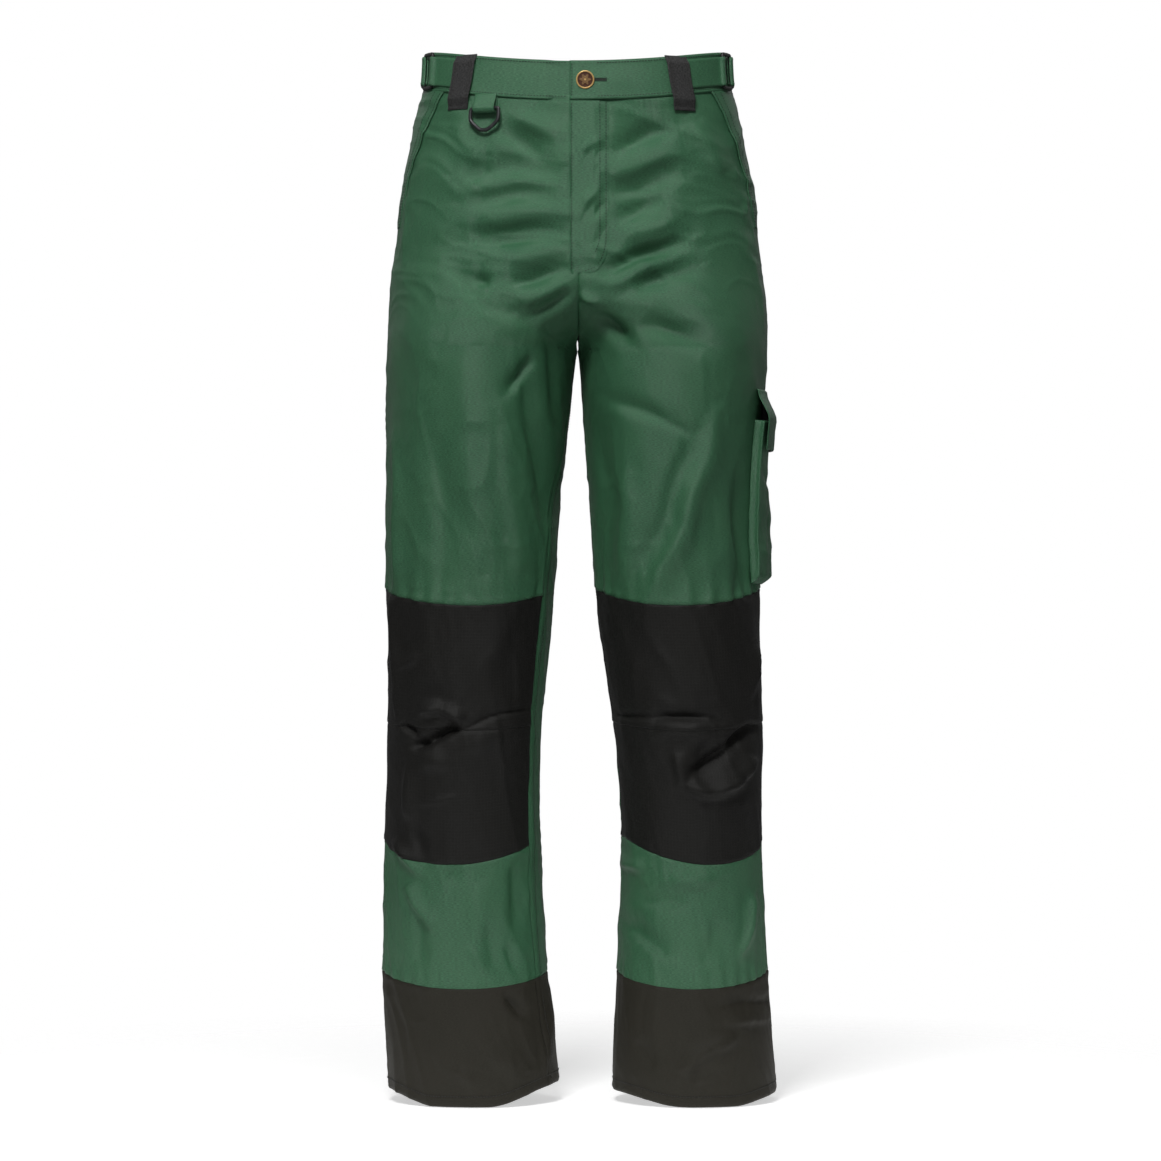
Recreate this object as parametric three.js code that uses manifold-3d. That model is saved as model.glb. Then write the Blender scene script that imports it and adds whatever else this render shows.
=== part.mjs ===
// Waist-high waterproof work trousers: sewn panels, waist and fly hardware, cargo pocket.
// Millimetres. +X is the wearer's left, -Y is the front, +Z is up. The hems rest on z = 0.
import * as THREE from "three";
import { mergeVertices } from "three/addons/utils/BufferGeometryUtils.js";
import Module from "manifold-3d";

const wasm = await Module();
wasm.setup();

// ---------- sizes ----------

const cloth = 2; // a sewn panel with its lining and seam allowance
const seamGap = 0.4; // between panels that are sewn edge to edge
const layerGap = 0.5; // between a panel and what is sewn on top of it
const deepGap = 0.9; // where a wide piece lies over or under a curved panel
const runGap = 0.3; // around anything that turns or slides

const hemPanelHeight = 135;
const calfHeight = 137;
const kneeLowerHeight = 118;
const kneeUpperHeight = 138;
const thighHeight = 257;
const forkHeight = 95; // over this height the hips part into two legs
const sideRise = 295; // crotch to the top of the waistband at the side
const frontDrop = 18; // how much lower the waistband is at centre front
const backLift = 4;
const bandHeight = 40;

const kneeTopDip = 17; // the knee patch seams sag towards centre front
const kneeSeamDip = 6;
const kneeFootDip = 18;
const hemSeamDip = 12;

const hemTop = hemPanelHeight;
const kneeFoot = hemTop + calfHeight;
const kneeSeam = kneeFoot + kneeLowerHeight;
const kneeTop = kneeSeam + kneeUpperHeight;
const crotch = kneeTop + thighHeight;
const fork = crotch + forkHeight;
const sideTop = crotch + sideRise;

const waistHalfWidth = 155;
const hipHalfWidth = 188;
const waistFront = 98; // distance of centre front from the middle plane at the top edge
const frontSlope = 0.0714; // how fast centre front comes forward going down the fly

// One entry per height: how far the cloth reaches forwards and back, the middle of the tube,
// and for each leg its outer and inner reach from the centre plane.
const levels = [
  { z: 0, front: 66, back: 82, middle: 8, right: [195, 15], left: [207, 34] },
  { z: hemTop, front: 68, back: 84, middle: 6, right: [201, 30], left: [196, 40] },
  { z: kneeFoot, front: 76, back: 82, middle: 2, right: [199, 37], left: [190, 44] },
  { z: kneeSeam, front: 86, back: 74, middle: -4, right: [196, 36], left: [191, 36] },
  { z: kneeTop, front: 95, back: 86, middle: 0, right: [197, 22], left: [188, 17] },
  { z: (kneeTop + crotch) / 2, front: 108, back: 104, middle: 4, right: [198, 13], left: [186, 9] },
  { z: crotch, front: 117, back: 120, middle: 6, right: [197, 0], left: [197, 0] },
  level(fork, 128, hipHalfWidth),
  level(fork + 60, 124, hipHalfWidth - 7.5),
  level(fork + 110, 116, waistHalfWidth + 15),
  level(sideTop - bandHeight, 106, waistHalfWidth + 3),
  level(sideTop + backLift, 101, waistHalfWidth),
];

const panelTurn = { right: 30, left: -4 }; // degrees the inseam swings forward below the crotch
const sideSeamAngle = 10; // degrees behind the widest point
const legGap = 1.2; // between the legs just under the crotch

const panelColumns = 12;

const flyEdge = -8; // free edge of the fly, past centre front
const flyStitch = 32; // where the fly is sewn down
const flyLength = 177; // below the waistband
const flyOpening = [-2, 14]; // the front panels end here beside the zip
const zipMiddle = 6;
const zipChainWidth = 4.8;
const zipChainDepth = 2.4;
const tapeWidth = 14;
const tapeThickness = 1;
const tapeDrop = 4; // the zip ends this far below the waistband
const flyBelowZip = 24; // how much longer the fly is than its zip
const chainShort = 6; // the tapes run on past the chain for the bottom stop
const stopHeight = 4;
const sliderSize = [8.4, 12, 1.2]; // width, length, plate thickness
const pullSize = [5, 20, 1];
const underlapEnd = 34;

const buttonX = 7.7;
const buttonRadius = 9.3;
const buttonHeight = 3.4;
const tackRadius = 2.2;
const tackCapRadius = 5.5;
const buttonholeLength = 24;
const underlapStep = 12; // past centre front, where the under end begins to come forward
const underlapRun = 16;
const tackCapDepth = 1.2;

const loopWidth = 26;
const loopTail = 16; // how far a belt loop runs below the waistband
const loopRoom = 8.2; // what a belt may take between loop and waistband
const loopLean = 7;
const loopPlace = { right: 115, left: 102 };
const backLoopPlace = 92;

const strapHeight = 30;
const strapThickness = 1.8;
const ringHeight = 38;
const ringWidth = 22;
const ringBar = 3.6;
const ringThickness = 3;
const ringAngle = -17; // degrees in front of the widest point
const tailAngle = 26; // degrees of waist that the free strap end covers
const strapMeet = 0.75; // half the gap between the tab and the strap under the ring
const tailRoom = 1.4; // between the ring and the free end that comes over it

const dRingPlace = -92;
const dRingWidth = 33;
const dRingHeight = 25;
const dRingBar = 3.8;
const dRingFlat = 7; // straight stretch at the foot of the ring
const dTabWidth = 24;
const dTabDrop = 14;
const dTabCloth = 1.6;

const hipFlapAngles = [-33, -11]; // the pocket mouth at the waistband and at its foot
const hipFlapHeight = 142;
const hipBagAngles = [-52, -6];
const hipBagHeight = 165;
const hipBagRound = 18; // how far the bag's lower corners are rounded up
const bagCloth = 1.2;

const cargoAngles = [-27, 42];
const cargoTopDrop = 54; // flap seam below the crotch
const cargoFlapHeight = 60;
const cargoBagHeight = 168;
const cargoDepth = 11; // bellows
const cargoMouthDrop = 30; // the bag's mouth below the flap seam
const tapeStripDrop = 4; // below the bag's mouth
const tapeStripEnds = [0.12, 0.88]; // of the pocket's width
const flapOverhang = 0.02; // radians past each side of the bag
const tapeStripHeight = 16;
const tapeStripThickness = 0.8;

// ---------- materials ----------

function finish(color, roughness, metalness = 0) {
  return new THREE.MeshStandardMaterial({ color, roughness, metalness });
}

const greenCloth = finish(0x3f6448, 0.62);
const blackPatch = finish(0x242422, 0.8);
const charcoalHem = finish(0x32302b, 0.75);
const loopWeb = finish(0x363636, 0.85);
const darkLining = finish(0x2c2f2d, 0.9);
const gunmetal = finish(0x33363a, 0.35, 0.9);
const blackPlastic = finish(0x1b1b1b, 0.45);
const zipBlack = finish(0x202221, 0.6);
const oldBrass = finish(0x8a6a35, 0.38, 0.9);

// ---------- the surface of the garment ----------

function level(z, back, halfWidth) {
  const front = waistFront + (sideTop + backLift - z) * frontSlope;
  return { z, front, back, middle: 0, right: [halfWidth, 0], left: [halfWidth, 0] };
}

// A smooth curve through the levels: cubic, with each slope taken from the two neighbours.
function along(z, read) {
  let i = 0;
  while (i < levels.length - 2 && z > levels[i + 1].z) {
    i++;
  }
  const slope = (k) => {
    const a = levels[Math.max(k - 1, 0)];
    const b = levels[Math.min(k + 1, levels.length - 1)];
    return (read(b) - read(a)) / (b.z - a.z);
  };
  const span = levels[i + 1].z - levels[i].z;
  const t = THREE.MathUtils.clamp((z - levels[i].z) / span, -0.2, 1.2);
  const t2 = t * t;
  const t3 = t2 * t;
  return (
    (2 * t3 - 3 * t2 + 1) * read(levels[i]) +
    (t3 - 2 * t2 + t) * span * slope(i) +
    (3 * t2 - 2 * t3) * read(levels[i + 1]) +
    (t3 - t2) * span * slope(i + 1)
  );
}

const sideName = { 1: "left", "-1": "right" };

// The half section at one height is part of an ellipse. Above the fork its middle lies on the
// centre plane, and at the crotch it has moved out so far that the ellipse closes into a leg.
function section(side, z) {
  const name = sideName[side];
  const outer = along(z, (l) => l[name][0]);
  const front = along(z, (l) => l.front);
  const back = along(z, (l) => l.back);
  const middle = along(z, (l) => l.middle);
  let inner = 0;
  let share = Math.pow(THREE.MathUtils.clamp((fork - z) / forkHeight, 0, 1), 1.5);
  let centre = (outer * share) / (1 + share);
  let reach = outer / (1 + share);
  if (z < crotch) {
    const open = THREE.MathUtils.smoothstep(crotch - z, 0, 25) * legGap;
    inner = Math.max(along(z, (l) => l[name][1]), 0) + open;
    centre = (outer + inner) / 2;
    reach = (outer - inner) / 2;
    share = 1;
  }
  return { centre, reach, middle, deepFront: front + middle, deepBack: back - middle };
}

// A point of the outer face at an angle round the section: -90 degrees is the front, 0 the side.
function facePoint(side, angle, z) {
  const s = section(side, z);
  const x = s.centre + s.reach * Math.cos(angle);
  const depth = Math.sin(angle) < 0 ? s.deepFront : s.deepBack;
  return new THREE.Vector3(side * x, s.middle + depth * Math.sin(angle), z);
}

function faceNormal(side, angle, z) {
  const step = 0.01;
  const a = facePoint(side, angle + step, z).sub(facePoint(side, angle - step, z));
  const b = facePoint(side, angle, z + 1).sub(facePoint(side, angle, z - 1));
  return a.cross(b).normalize().multiplyScalar(side);
}

// A point lifted off the outer face. A negative lift lies inside the garment.
function liftedPoint(side, angle, z, lift) {
  return facePoint(side, angle, z).addScaledVector(faceNormal(side, angle, z), lift);
}

// The angle at which the front of a section stands a given distance from the centre plane.
function frontAngle(side, x, z) {
  const s = section(side, z);
  return -Math.acos(THREE.MathUtils.clamp((x - s.centre) / s.reach, -1, 1));
}

// A point of the front given by its x, on whichever half it lies.
function frontPoint(x, z, lift) {
  const side = x < 0 ? -1 : 1;
  const reach = Math.max(Math.abs(x), 0.01);
  return liftedPoint(side, frontAngle(side, reach, z), z, lift).setX(x);
}

const radians = THREE.MathUtils.degToRad;

function bandTop(angle) {
  const s = Math.sin(angle);
  return sideTop + (s < 0 ? -frontDrop * s * s : backLift * s * s);
}

function bandFoot(angle) {
  return bandTop(angle) - bandHeight;
}

// ---------- solids ----------

// A closed block whose three unit directions are carried into space by a function.
function warpedBlock(columns, rows, layers, place) {
  const box = new THREE.BoxGeometry(1, 1, 1, columns, rows, layers);
  box.deleteAttribute("normal");
  box.deleteAttribute("uv");
  const block = mergeVertices(box, 1e-5);
  const at = block.attributes.position;
  for (let i = 0; i < at.count; i++) {
    const p = place(at.getX(i) + 0.5, at.getY(i) + 0.5, at.getZ(i) + 0.5);
    at.setXYZ(i, p.x, p.y, p.z);
  }
  return facingOut(block);
}

function facingOut(shape) {
  const at = shape.attributes.position;
  const index = shape.index.array;
  const corner = (k) => new THREE.Vector3().fromBufferAttribute(at, index[k]);
  let volume = 0;
  for (let k = 0; k < index.length; k += 3) {
    volume += corner(k).dot(corner(k + 1).cross(corner(k + 2)));
  }
  if (volume < 0) {
    for (let k = 0; k < index.length; k += 3) {
      [index[k], index[k + 1]] = [index[k + 1], index[k]];
    }
  }
  shape.computeVertexNormals();
  return shape;
}

function toSolid(shape) {
  const bare = shape.clone();
  bare.deleteAttribute("normal");
  bare.deleteAttribute("uv");
  const merged = mergeVertices(bare, 1e-4);
  return new wasm.Manifold(
    new wasm.Mesh({
      numProp: 3,
      vertProperties: new Float32Array(merged.attributes.position.array),
      triVerts: new Uint32Array(merged.index.array),
    }),
  );
}

function toShape(solid) {
  const mesh = solid.getMesh();
  const shape = new THREE.BufferGeometry();
  shape.setAttribute("position", new THREE.BufferAttribute(mesh.vertProperties, 3));
  shape.setIndex(new THREE.BufferAttribute(mesh.triVerts, 1));
  shape.computeVertexNormals();
  return shape;
}

function joined(shapes) {
  return toShape(shapes.map(toSolid).reduce((whole, next) => whole.add(next)));
}

function cutBy(shape, tool) {
  return toShape(toSolid(shape).subtract(toSolid(tool)));
}

const trousers = new THREE.Group();

function add(name, geometry, material, parent = trousers) {
  const mesh = new THREE.Mesh(geometry, material);
  mesh.name = name;
  parent.add(mesh);
  return mesh;
}

// A group that stands on the cloth: its x runs along it, its y points inwards, its z points up.
function standOn(side, angle, z, lift) {
  const out = faceNormal(side, angle, z);
  const sideways = new THREE.Vector3(0, 0, 1).cross(out).normalize();
  const up = out.clone().cross(sideways).normalize();
  const stand = new THREE.Group();
  stand.matrix.makeBasis(sideways, out.clone().negate(), up);
  stand.quaternion.setFromRotationMatrix(stand.matrix);
  stand.position.copy(liftedPoint(side, angle, z, lift));
  trousers.add(stand);
  return stand;
}

// A group at a hinge, with its axis turned from one direction to the real one.
function hingeAt(position, axis, direction) {
  const hinge = new THREE.Group();
  hinge.position.copy(position);
  hinge.quaternion.setFromUnitVectors(axis, direction.normalize());
  hinge.updateMatrixWorld();
  trousers.add(hinge);
  return hinge;
}

// A shape that was made in place moves into its hinge's own directions.
function addHinged(name, shape, material, hinge) {
  return add(name, shape.applyMatrix4(hinge.matrixWorld.clone().invert()), material, hinge);
}

// ---------- leg and hip panels ----------

function settle(amount, z, low, high) {
  return amount * THREE.MathUtils.smoothstep(z, low, high);
}

// How far the front panel's edge stands off the centre plane: the fly leaves room for the zip.
function frontEdgeReach(side, z) {
  const flyFoot = bandFoot(-Math.PI / 2) - flyLength;
  const opening = side < 0 ? -flyOpening[0] : flyOpening[1];
  return seamGap / 2 + settle(opening, z, flyFoot, flyFoot + 15);
}

function inseamAngle(side, z) {
  const turn = radians(panelTurn[sideName[side]]);
  return -Math.PI + settle(turn, -z, -crotch, -kneeTop);
}

function frontStart(side, z) {
  return z >= crotch ? frontAngle(side, frontEdgeReach(side, z), z) : inseamAngle(side, z);
}

function backEnd(side, z) {
  return z >= crotch ? -frontAngle(side, seamGap / 2, z) : inseamAngle(side, z) + 2 * Math.PI;
}

function dipped(base, dip) {
  return (angle) => base - dip * Math.max(0, -Math.sin(angle));
}

// Millimetres of cloth to one radian of section.
function stretchAt(side, angle, z) {
  const step = 0.01;
  return facePoint(side, angle + step, z).distanceTo(facePoint(side, angle, z)) / step;
}

// An angle moved along the cloth by half a seam gap.
function trimmed(side, angle, z, way) {
  const stretch = stretchAt(side, angle, z);
  return angle + (way * seamGap) / 2 / stretch;
}

function panel(name, side, material, rows, low, high, from, to) {
  const angleAt = (u, z) => {
    const start = trimmed(side, from(side, z), z, 1);
    const end = trimmed(side, to(side, z), z, -1);
    return THREE.MathUtils.lerp(start, end, u);
  };
  const place = (u, v, w) => {
    let z = THREE.MathUtils.lerp(low(0), high(0), v);
    for (let pass = 0; pass < 4; pass++) {
      const angle = angleAt(u, z);
      z = THREE.MathUtils.lerp(low(angle) + seamGap / 2, high(angle) - seamGap / 2, v);
    }
    return liftedPoint(side, angleAt(u, z), z, (w - 1) * cloth);
  };
  add(`${name}_${sideName[side]}`, warpedBlock(panelColumns, rows, 1, place), material);
}

const sideSeam = () => radians(sideSeamAngle);

function addLegPanels(side) {
  const hemSeam = dipped(hemTop, hemSeamDip);
  const kneeFootSeam = dipped(kneeFoot, kneeFootDip);
  const kneeMidSeam = dipped(kneeSeam, kneeSeamDip);
  const kneeTopSeam = dipped(kneeTop, kneeTopDip);
  const floor = () => 0;
  panel("hem_front", side, charcoalHem, 2, floor, hemSeam, frontStart, sideSeam);
  panel("hem_back", side, charcoalHem, 2, floor, hemSeam, sideSeam, backEnd);
  panel("calf_front", side, greenCloth, 3, hemSeam, kneeFootSeam, frontStart, sideSeam);
  panel("knee_lower", side, blackPatch, 3, kneeFootSeam, kneeMidSeam, frontStart, sideSeam);
  panel("knee_upper", side, blackPatch, 3, kneeMidSeam, kneeTopSeam, frontStart, sideSeam);
  panel("front", side, greenCloth, 18, kneeTopSeam, bandFoot, frontStart, sideSeam);
  panel("back", side, greenCloth, 26, hemSeam, bandFoot, sideSeam, backEnd);
}

// ---------- waistband ----------

function bandPoint(side, angle, v, lift) {
  const z = bandFoot(angle) + seamGap / 2 + v * (bandHeight - seamGap / 2);
  return liftedPoint(side, angle, z, lift);
}

// A stretch of waistband given by x across the front, reaching round to an angle at the side.
function frontBandPoint(side, startX, u, v, lift) {
  const z = bandFoot(radians(-90)) + v * bandHeight;
  const start = frontAngle(1, startX, z);
  const end = trimmed(side, sideSeam(), z, -1);
  return bandPoint(side, THREE.MathUtils.lerp(start, end, u), v, lift);
}

function addWaistband() {
  const bandMiddle = bandFoot(radians(-90)) + bandHeight / 2;
  const left = warpedBlock(24, 2, 1, (u, v, w) => {
    return frontBandPoint(1, flyEdge, u, v, (w - 1) * cloth);
  });
  const slot = new THREE.BoxGeometry(buttonholeLength, 6 * cloth, 2 * (tackRadius + runGap));
  const slotStart = buttonX - tackRadius - runGap;
  const slotY = frontPoint(buttonX, bandMiddle, -cloth / 2).y;
  slot.translate(slotStart + buttonholeLength / 2, slotY, bandMiddle);
  add("waistband_left", cutBy(left, slot), greenCloth);

  // The right end goes under the left one, so it steps back behind it.
  const stepBack = cloth + layerGap;
  const stepStart = underlapStep - flyEdge;
  const right = warpedBlock(28, 2, 1, (u, v, w) => {
    const p = frontBandPoint(-1, -underlapEnd, u, v, 0);
    const forward = THREE.MathUtils.smoothstep(-p.x, stepStart, stepStart + underlapRun);
    const sunk = stepBack * (1 - forward);
    return frontBandPoint(-1, -underlapEnd, u, v, (w - 1) * cloth - sunk);
  });
  const holeRadius = tackRadius + runGap;
  const hole = new THREE.CylinderGeometry(holeRadius, holeRadius, 6 * cloth, 16);
  const holeY = frontPoint(buttonX, bandMiddle, -cloth - stepBack / 2).y;
  hole.translate(buttonX, holeY, bandMiddle);
  add("waistband_right", cutBy(right, hole), greenCloth);

  const back = warpedBlock(36, 2, 1, (u, v, w) => {
    const side = u < 0.5 ? 1 : -1;
    const start = trimmed(side, sideSeam(), sideTop, 1);
    const angle = THREE.MathUtils.lerp(start, Math.PI / 2, 1 - Math.abs(2 * u - 1));
    return bandPoint(side, angle, v, (w - 1) * cloth);
  });
  add("waistband_back", back, greenCloth);
}

function addWaistButton() {
  const z = bandFoot(radians(-90)) + bandHeight / 2;
  const stand = new THREE.Group();
  stand.position.copy(frontPoint(buttonX, z, 0));
  stand.rotation.x = Math.PI; // the lathe axis points to the front
  trousers.add(stand);
  const back = -(2 * cloth + layerGap + 2 * runGap);
  const post = layerGap + runGap;
  const tack = new THREE.LatheGeometry(
    [
      new THREE.Vector2(0, back - tackCapDepth),
      new THREE.Vector2(tackCapRadius - 0.6, back - tackCapDepth),
      new THREE.Vector2(tackCapRadius, back - 0.6),
      new THREE.Vector2(tackCapRadius, back),
      new THREE.Vector2(tackRadius, back),
      new THREE.Vector2(tackRadius, post),
      new THREE.Vector2(0, post),
    ],
    20,
  );
  add("waist_button_tack", tack, oldBrass, stand);
  const foot = post + runGap;
  const rim = 1.6;
  const head = new THREE.LatheGeometry(
    [
      new THREE.Vector2(0, foot),
      new THREE.Vector2(buttonRadius * 0.72, foot),
      new THREE.Vector2(buttonRadius, foot + 1),
      new THREE.Vector2(buttonRadius, foot + buttonHeight - 0.9),
      new THREE.Vector2(buttonRadius - 0.8, foot + buttonHeight),
      new THREE.Vector2(buttonRadius - rim - 0.4, foot + buttonHeight),
      new THREE.Vector2(buttonRadius - rim - 1, foot + buttonHeight - 0.9),
      new THREE.Vector2(0, foot + buttonHeight - 0.5),
    ],
    28,
  );
  add("waist_button_head", head, oldBrass, stand);
}

// ---------- belt loops ----------

// A strip sewn down at both ends that stands clear of the waistband between them.
function beltLoop(name, side, angleAt, topLean) {
  const middle = angleAt(0.5);
  const top = bandTop(middle);
  const length = bandHeight + loopTail;
  const place = (u, v, w) => {
    const z = top - length * (1 - v);
    const angle = angleAt(v);
    const stretch = stretchAt(side, angle, z);
    const across = ((u - 0.5) * loopWidth - topLean * (v - 0.5)) / stretch;
    const offFoot = THREE.MathUtils.smoothstep(v, 0.02, 0.2);
    const offTop = 1 - THREE.MathUtils.smoothstep(v, 0.84, 0.98);
    const rise = Math.min(offFoot, offTop) * (loopRoom - layerGap);
    return liftedPoint(side, angle + across, z, layerGap + rise + w * cloth);
  };
  add(name, warpedBlock(3, 10, 1, place), loopWeb);
}

function addBeltLoops() {
  for (const side of [1, -1]) {
    const name = sideName[side];
    const top = bandTop(radians(-45));
    const frontLoopAngle = () => frontAngle(side, loopPlace[name], top - bandHeight / 2);
    beltLoop(`belt_loop_front_${name}`, side, frontLoopAngle, loopLean);
    const backLoopAngle = () => -frontAngle(side, backLoopPlace, top - bandHeight / 2);
    beltLoop(`belt_loop_back_${name}`, side, backLoopAngle, 0);
  }
  beltLoop("belt_loop_back_centre", 1, () => Math.PI / 2, 0);
}

// ---------- side adjusters ----------

function strapPoint(side, angle, v, lift) {
  const z = bandFoot(angle) + bandHeight / 2 + (v - 0.5) * strapHeight;
  return liftedPoint(side, angle, z, lift);
}

function addAdjuster(side) {
  const name = sideName[side];
  const middleZ = bandTop(radians(ringAngle)) - bandHeight / 2;
  const loopAngle = frontAngle(side, loopPlace[name], middleZ);
  const perRadian = stretchAt(side, loopAngle, middleZ);
  const tabStart = loopAngle + (loopWidth / 2 + loopLean / 2 + 1) / perRadian;
  const ringTurn = radians(ringAngle);
  const ringStretch = stretchAt(side, ringTurn, middleZ);
  const meet = strapMeet / ringStretch;

  add(
    `adjuster_tab_${name}`,
    warpedBlock(6, 2, 1, (u, v, w) => {
      const angle = THREE.MathUtils.lerp(tabStart, ringTurn - meet, u);
      return strapPoint(side, angle, v, layerGap + w * strapThickness);
    }),
    greenCloth,
  );

  const backLoopEdge = -frontAngle(side, backLoopPlace, middleZ) - (loopWidth / 2 + 2) / perRadian;
  add(
    `adjuster_strap_${name}`,
    warpedBlock(14, 2, 1, (u, v, w) => {
      const angle = THREE.MathUtils.lerp(ringTurn + meet, backLoopEdge, u);
      return strapPoint(side, angle, v, layerGap + w * strapThickness);
    }),
    greenCloth,
  );

  const overStrap = layerGap + strapThickness + runGap;
  const ring = new THREE.Shape();
  ring.moveTo(-ringWidth / 2, -ringHeight / 2);
  ring.lineTo(ringWidth / 2, -ringHeight / 2);
  ring.lineTo(ringWidth / 2, ringHeight / 2);
  ring.lineTo(-ringWidth / 2, ringHeight / 2);
  const slot = new THREE.Path();
  const slotX = ringWidth / 2 - ringBar;
  const slotY = ringHeight / 2 - ringBar;
  slot.moveTo(-slotX, -slotY);
  slot.lineTo(-slotX, slotY);
  slot.lineTo(slotX, slotY);
  slot.lineTo(slotX, -slotY);
  ring.holes.push(slot);
  const flat = { depth: ringThickness, bevelEnabled: false };
  const ringShape = new THREE.ExtrudeGeometry(ring, flat);
  ringShape.rotateX(Math.PI / 2);
  const stand = standOn(side, ringTurn, middleZ, overStrap);
  add(`adjuster_ring_${name}`, ringShape, blackPlastic, stand);

  // The free end comes over the ring's rear bar and lies back on the strap.
  const overRing = overStrap + ringThickness + tailRoom;
  const tailStart = ringTurn + (ringWidth / 2 - ringBar) / ringStretch;
  const tailEnd = tailStart + radians(tailAngle);
  const tail = warpedBlock(12, 2, 1, (u, v, w) => {
    const down = THREE.MathUtils.smoothstep(u, 0.14, 0.42);
    const lift = THREE.MathUtils.lerp(overRing, overStrap, down);
    return strapPoint(side, THREE.MathUtils.lerp(tailStart, tailEnd, u), v, lift + w * strapThickness);
  });
  const upright = new THREE.Vector3(0, 0, 1);
  const hinge = hingeAt(strapPoint(side, tailStart, 0.5, overRing), upright, upright.clone());
  addHinged(`adjuster_tail_${name}`, tail, greenCloth, hinge);
}

// ---------- D-ring ----------

function addDRing() {
  const holeRadius = (dRingBar / 2) * Math.SQRT2 + runGap;
  const tabOuter = holeRadius + dTabCloth;
  const barLift = layerGap + tabOuter;
  const x = -dRingPlace;
  const bandEdge = bandFoot(frontAngle(-1, x, sideTop - bandHeight));
  const barZ = bandEdge - dTabDrop;
  const stand = standOn(-1, frontAngle(-1, x, barZ), barZ, barLift);

  const outline = new THREE.Shape();
  const half = dRingWidth / 2;
  const foot = -(dRingHeight - dRingBar / 2);
  outline.moveTo(-half, dRingBar / 2);
  outline.lineTo(-half, foot * 0.42);
  outline.quadraticCurveTo(-half * 0.86, foot * 0.8, -dRingFlat / 2, foot);
  outline.lineTo(dRingFlat / 2, foot);
  outline.quadraticCurveTo(half * 0.86, foot * 0.8, half, foot * 0.42);
  outline.lineTo(half, dRingBar / 2);
  const inside = new THREE.Path();
  const innerHalf = half - dRingBar;
  const innerFoot = foot + dRingBar;
  inside.moveTo(-innerHalf, -dRingBar / 2);
  inside.lineTo(innerHalf, -dRingBar / 2);
  inside.lineTo(innerHalf, foot * 0.42);
  inside.quadraticCurveTo(innerHalf * 0.8, innerFoot * 0.86, dRingFlat / 2, innerFoot);
  inside.lineTo(-dRingFlat / 2, innerFoot);
  inside.quadraticCurveTo(-innerHalf * 0.8, innerFoot * 0.86, -innerHalf, foot * 0.42);
  outline.holes.push(inside);
  const barDepth = { depth: dRingBar, bevelEnabled: false, curveSegments: 6 };
  const ring = new THREE.ExtrudeGeometry(outline, barDepth);
  ring.translate(0, 0, -dRingBar / 2);
  ring.rotateX(Math.PI / 2);
  add("d_ring", ring, gunmetal, stand);

  // The tab is folded round the bar, and its two layers run up to the waistband.
  const strip = new THREE.Shape();
  const top = bandEdge - barZ - seamGap;
  strip.moveTo(-tabOuter, 0);
  strip.absarc(0, 0, tabOuter, Math.PI, 2 * Math.PI, false);
  strip.lineTo(tabOuter, top);
  strip.lineTo(tabOuter - 2 * dTabCloth, top);
  strip.lineTo(-tabOuter, holeRadius + dTabCloth);
  const eye = new THREE.Path();
  eye.absarc(0, 0, holeRadius, 0, 2 * Math.PI, true);
  strip.holes.push(eye);
  const tabDepth = { depth: dTabWidth, bevelEnabled: false, curveSegments: 10 };
  const tab = new THREE.ExtrudeGeometry(strip, tabDepth);
  tab.translate(0, 0, -dTabWidth / 2);
  tab.rotateX(Math.PI / 2);
  tab.rotateZ(Math.PI / 2);
  add("d_ring_tab", tab, greenCloth, stand);
}

// ---------- fly and zip ----------

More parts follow.
